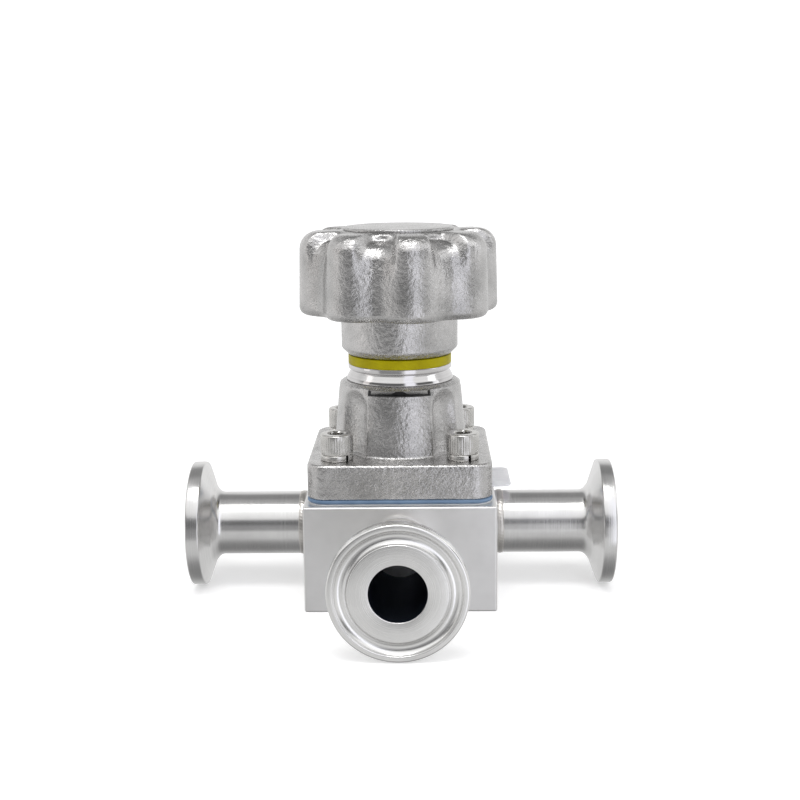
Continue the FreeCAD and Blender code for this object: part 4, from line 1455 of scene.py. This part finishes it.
@dataclass
class Studio:
    """Pale floor, soft lights and the camera."""

    floor_half: float = 3.0
    wall_height: float = 2.5
    sweep_radius: float = 1.2
    floor_glow: float = 0.34
    camera_place: tuple[float, float, float] = (0.00660, -0.35796, 0.12366)
    azimuth: float = 1.056
    elevation: float = 16.56
    pan: float = -0.014
    tilt: float = 5.169
    roll: float = -0.655
    focal_length: float = 60.3315
    sensor: float = 36.0

    def camera(self) -> None:
        """Place the camera."""
        yaw = math.radians(self.pan - self.azimuth)
        pitch = math.radians(self.tilt - self.elevation)
        roll = math.radians(self.roll)
        ahead = Vector((math.sin(yaw), math.cos(yaw), 0.0)) * math.cos(pitch)
        ahead.z = math.sin(pitch)
        right = Vector((math.cos(yaw), -math.sin(yaw), 0.0))
        above = right.cross(ahead)
        side = right * math.cos(roll) + above * math.sin(roll)
        up = above * math.cos(roll) - right * math.sin(roll)
        data = bpy.data.cameras.new("view")
        data.sensor_width = self.sensor
        data.lens = self.focal_length
        data.clip_start = 0.01
        camera = bpy.data.objects.new("view", data)
        turn = Matrix((side, up, -ahead)).transposed().to_4x4()
        camera.matrix_world = Matrix.Translation(self.camera_place) @ turn
        bpy.context.scene.collection.objects.link(camera)
        bpy.context.scene.camera = camera

    def floor(self) -> None:
        """Floor that sweeps up into a back wall."""
        bm = bmesh.new()
        bmesh.ops.create_grid(bm, x_segments=2, y_segments=2, size=self.floor_half)
        far = [e for e in bm.edges if all(v.co.y > self.floor_half - TINY for v in e.verts)]
        raised = bmesh.ops.extrude_edge_only(bm, edges=far)["geom"]
        bmesh.ops.translate(bm, vec=(0, 0, self.wall_height),
                            verts=[g for g in raised if isinstance(g, bmesh.types.BMVert)])
        bmesh.ops.bevel(bm, geom=[e for e in bm.edges if e.calc_face_angle(0.0) > 1.0],
                        offset=self.sweep_radius, segments=16, profile=0.5, affect="EDGES",
                        material=-1)
        for face in bm.faces:
            face.smooth = True
        mesh = bpy.data.meshes.new("floor")
        bm.to_mesh(mesh)
        bm.free()
        floor = bpy.data.objects.new("floor", mesh)
        bpy.context.scene.collection.objects.link(floor)
        graph = Graph("floor_pale")
        graph.set(Roughness=0.9, Specular_IOR_Level=0.1, Base_Color=(0.92, 0.92, 0.92),
                  Emission_Color=(1.0, 1.0, 1.0), Emission_Strength=self.floor_glow)
        dress(floor, graph.material)
        floor.visible_glossy = False

    def lamp(self, name: str, place: tuple[float, float, float], size: tuple[float, float],
             power: float, colour: tuple[float, float, float] = (1.0, 1.0, 1.0)) -> None:
        """Soft panel that looks at the valve.

        Args:
            name: the lamp's name.
            place: its middle, in metres.
            size: width and height, in metres.
            power: watts.
            colour: its tint.
        """
        data = bpy.data.lights.new(name, "AREA")
        data.shape = "RECTANGLE"
        data.size, data.size_y = size
        data.energy = power
        data.color = colour
        lamp = bpy.data.objects.new(name, data)
        aim = Vector((0.0, 0.0, 0.055)) - Vector(place)
        lamp.matrix_world = Matrix.Translation(place) @ aim.to_track_quat("-Z", "Y").to_matrix(
        ).to_4x4()
        bpy.context.scene.collection.objects.link(lamp)

    def build(self) -> None:
        """Set up the whole studio."""
        self.camera()
        self.floor()
        Surroundings().build()
        bpy.context.scene.view_settings.view_transform = "Standard"
        self.lamp("overhead", (-0.05, -0.32, 0.95), (0.5, 0.3), 2.4)
        self.lamp("left", (-1.1, -0.25, 0.35), (0.35, 0.9), 0.7, (1.0, 0.95, 0.93))
        self.lamp("right", (1.1, -0.1, 0.5), (0.35, 0.9), 1.0, (0.96, 0.97, 1.0))


# ---------------------------------------------------------------- assembly


def main() -> None:
    """Build every sub-assembly in order."""
    logging.basicConfig(level=logging.INFO, format="%(name)s: %(message)s")
    levels = Levels.from_frame()
    finishes = Finishes.mix(levels)
    Studio().build()
    KeptNodes(frame["nodes"]).build(finishes)
    for assembly in (Ports(levels), Diaphragm(levels), Bonnet(levels), Screws(levels),
                     Collar(levels), Handwheel(levels)):
        assembly.build(finishes)


if __name__ == "__main__":
    main()
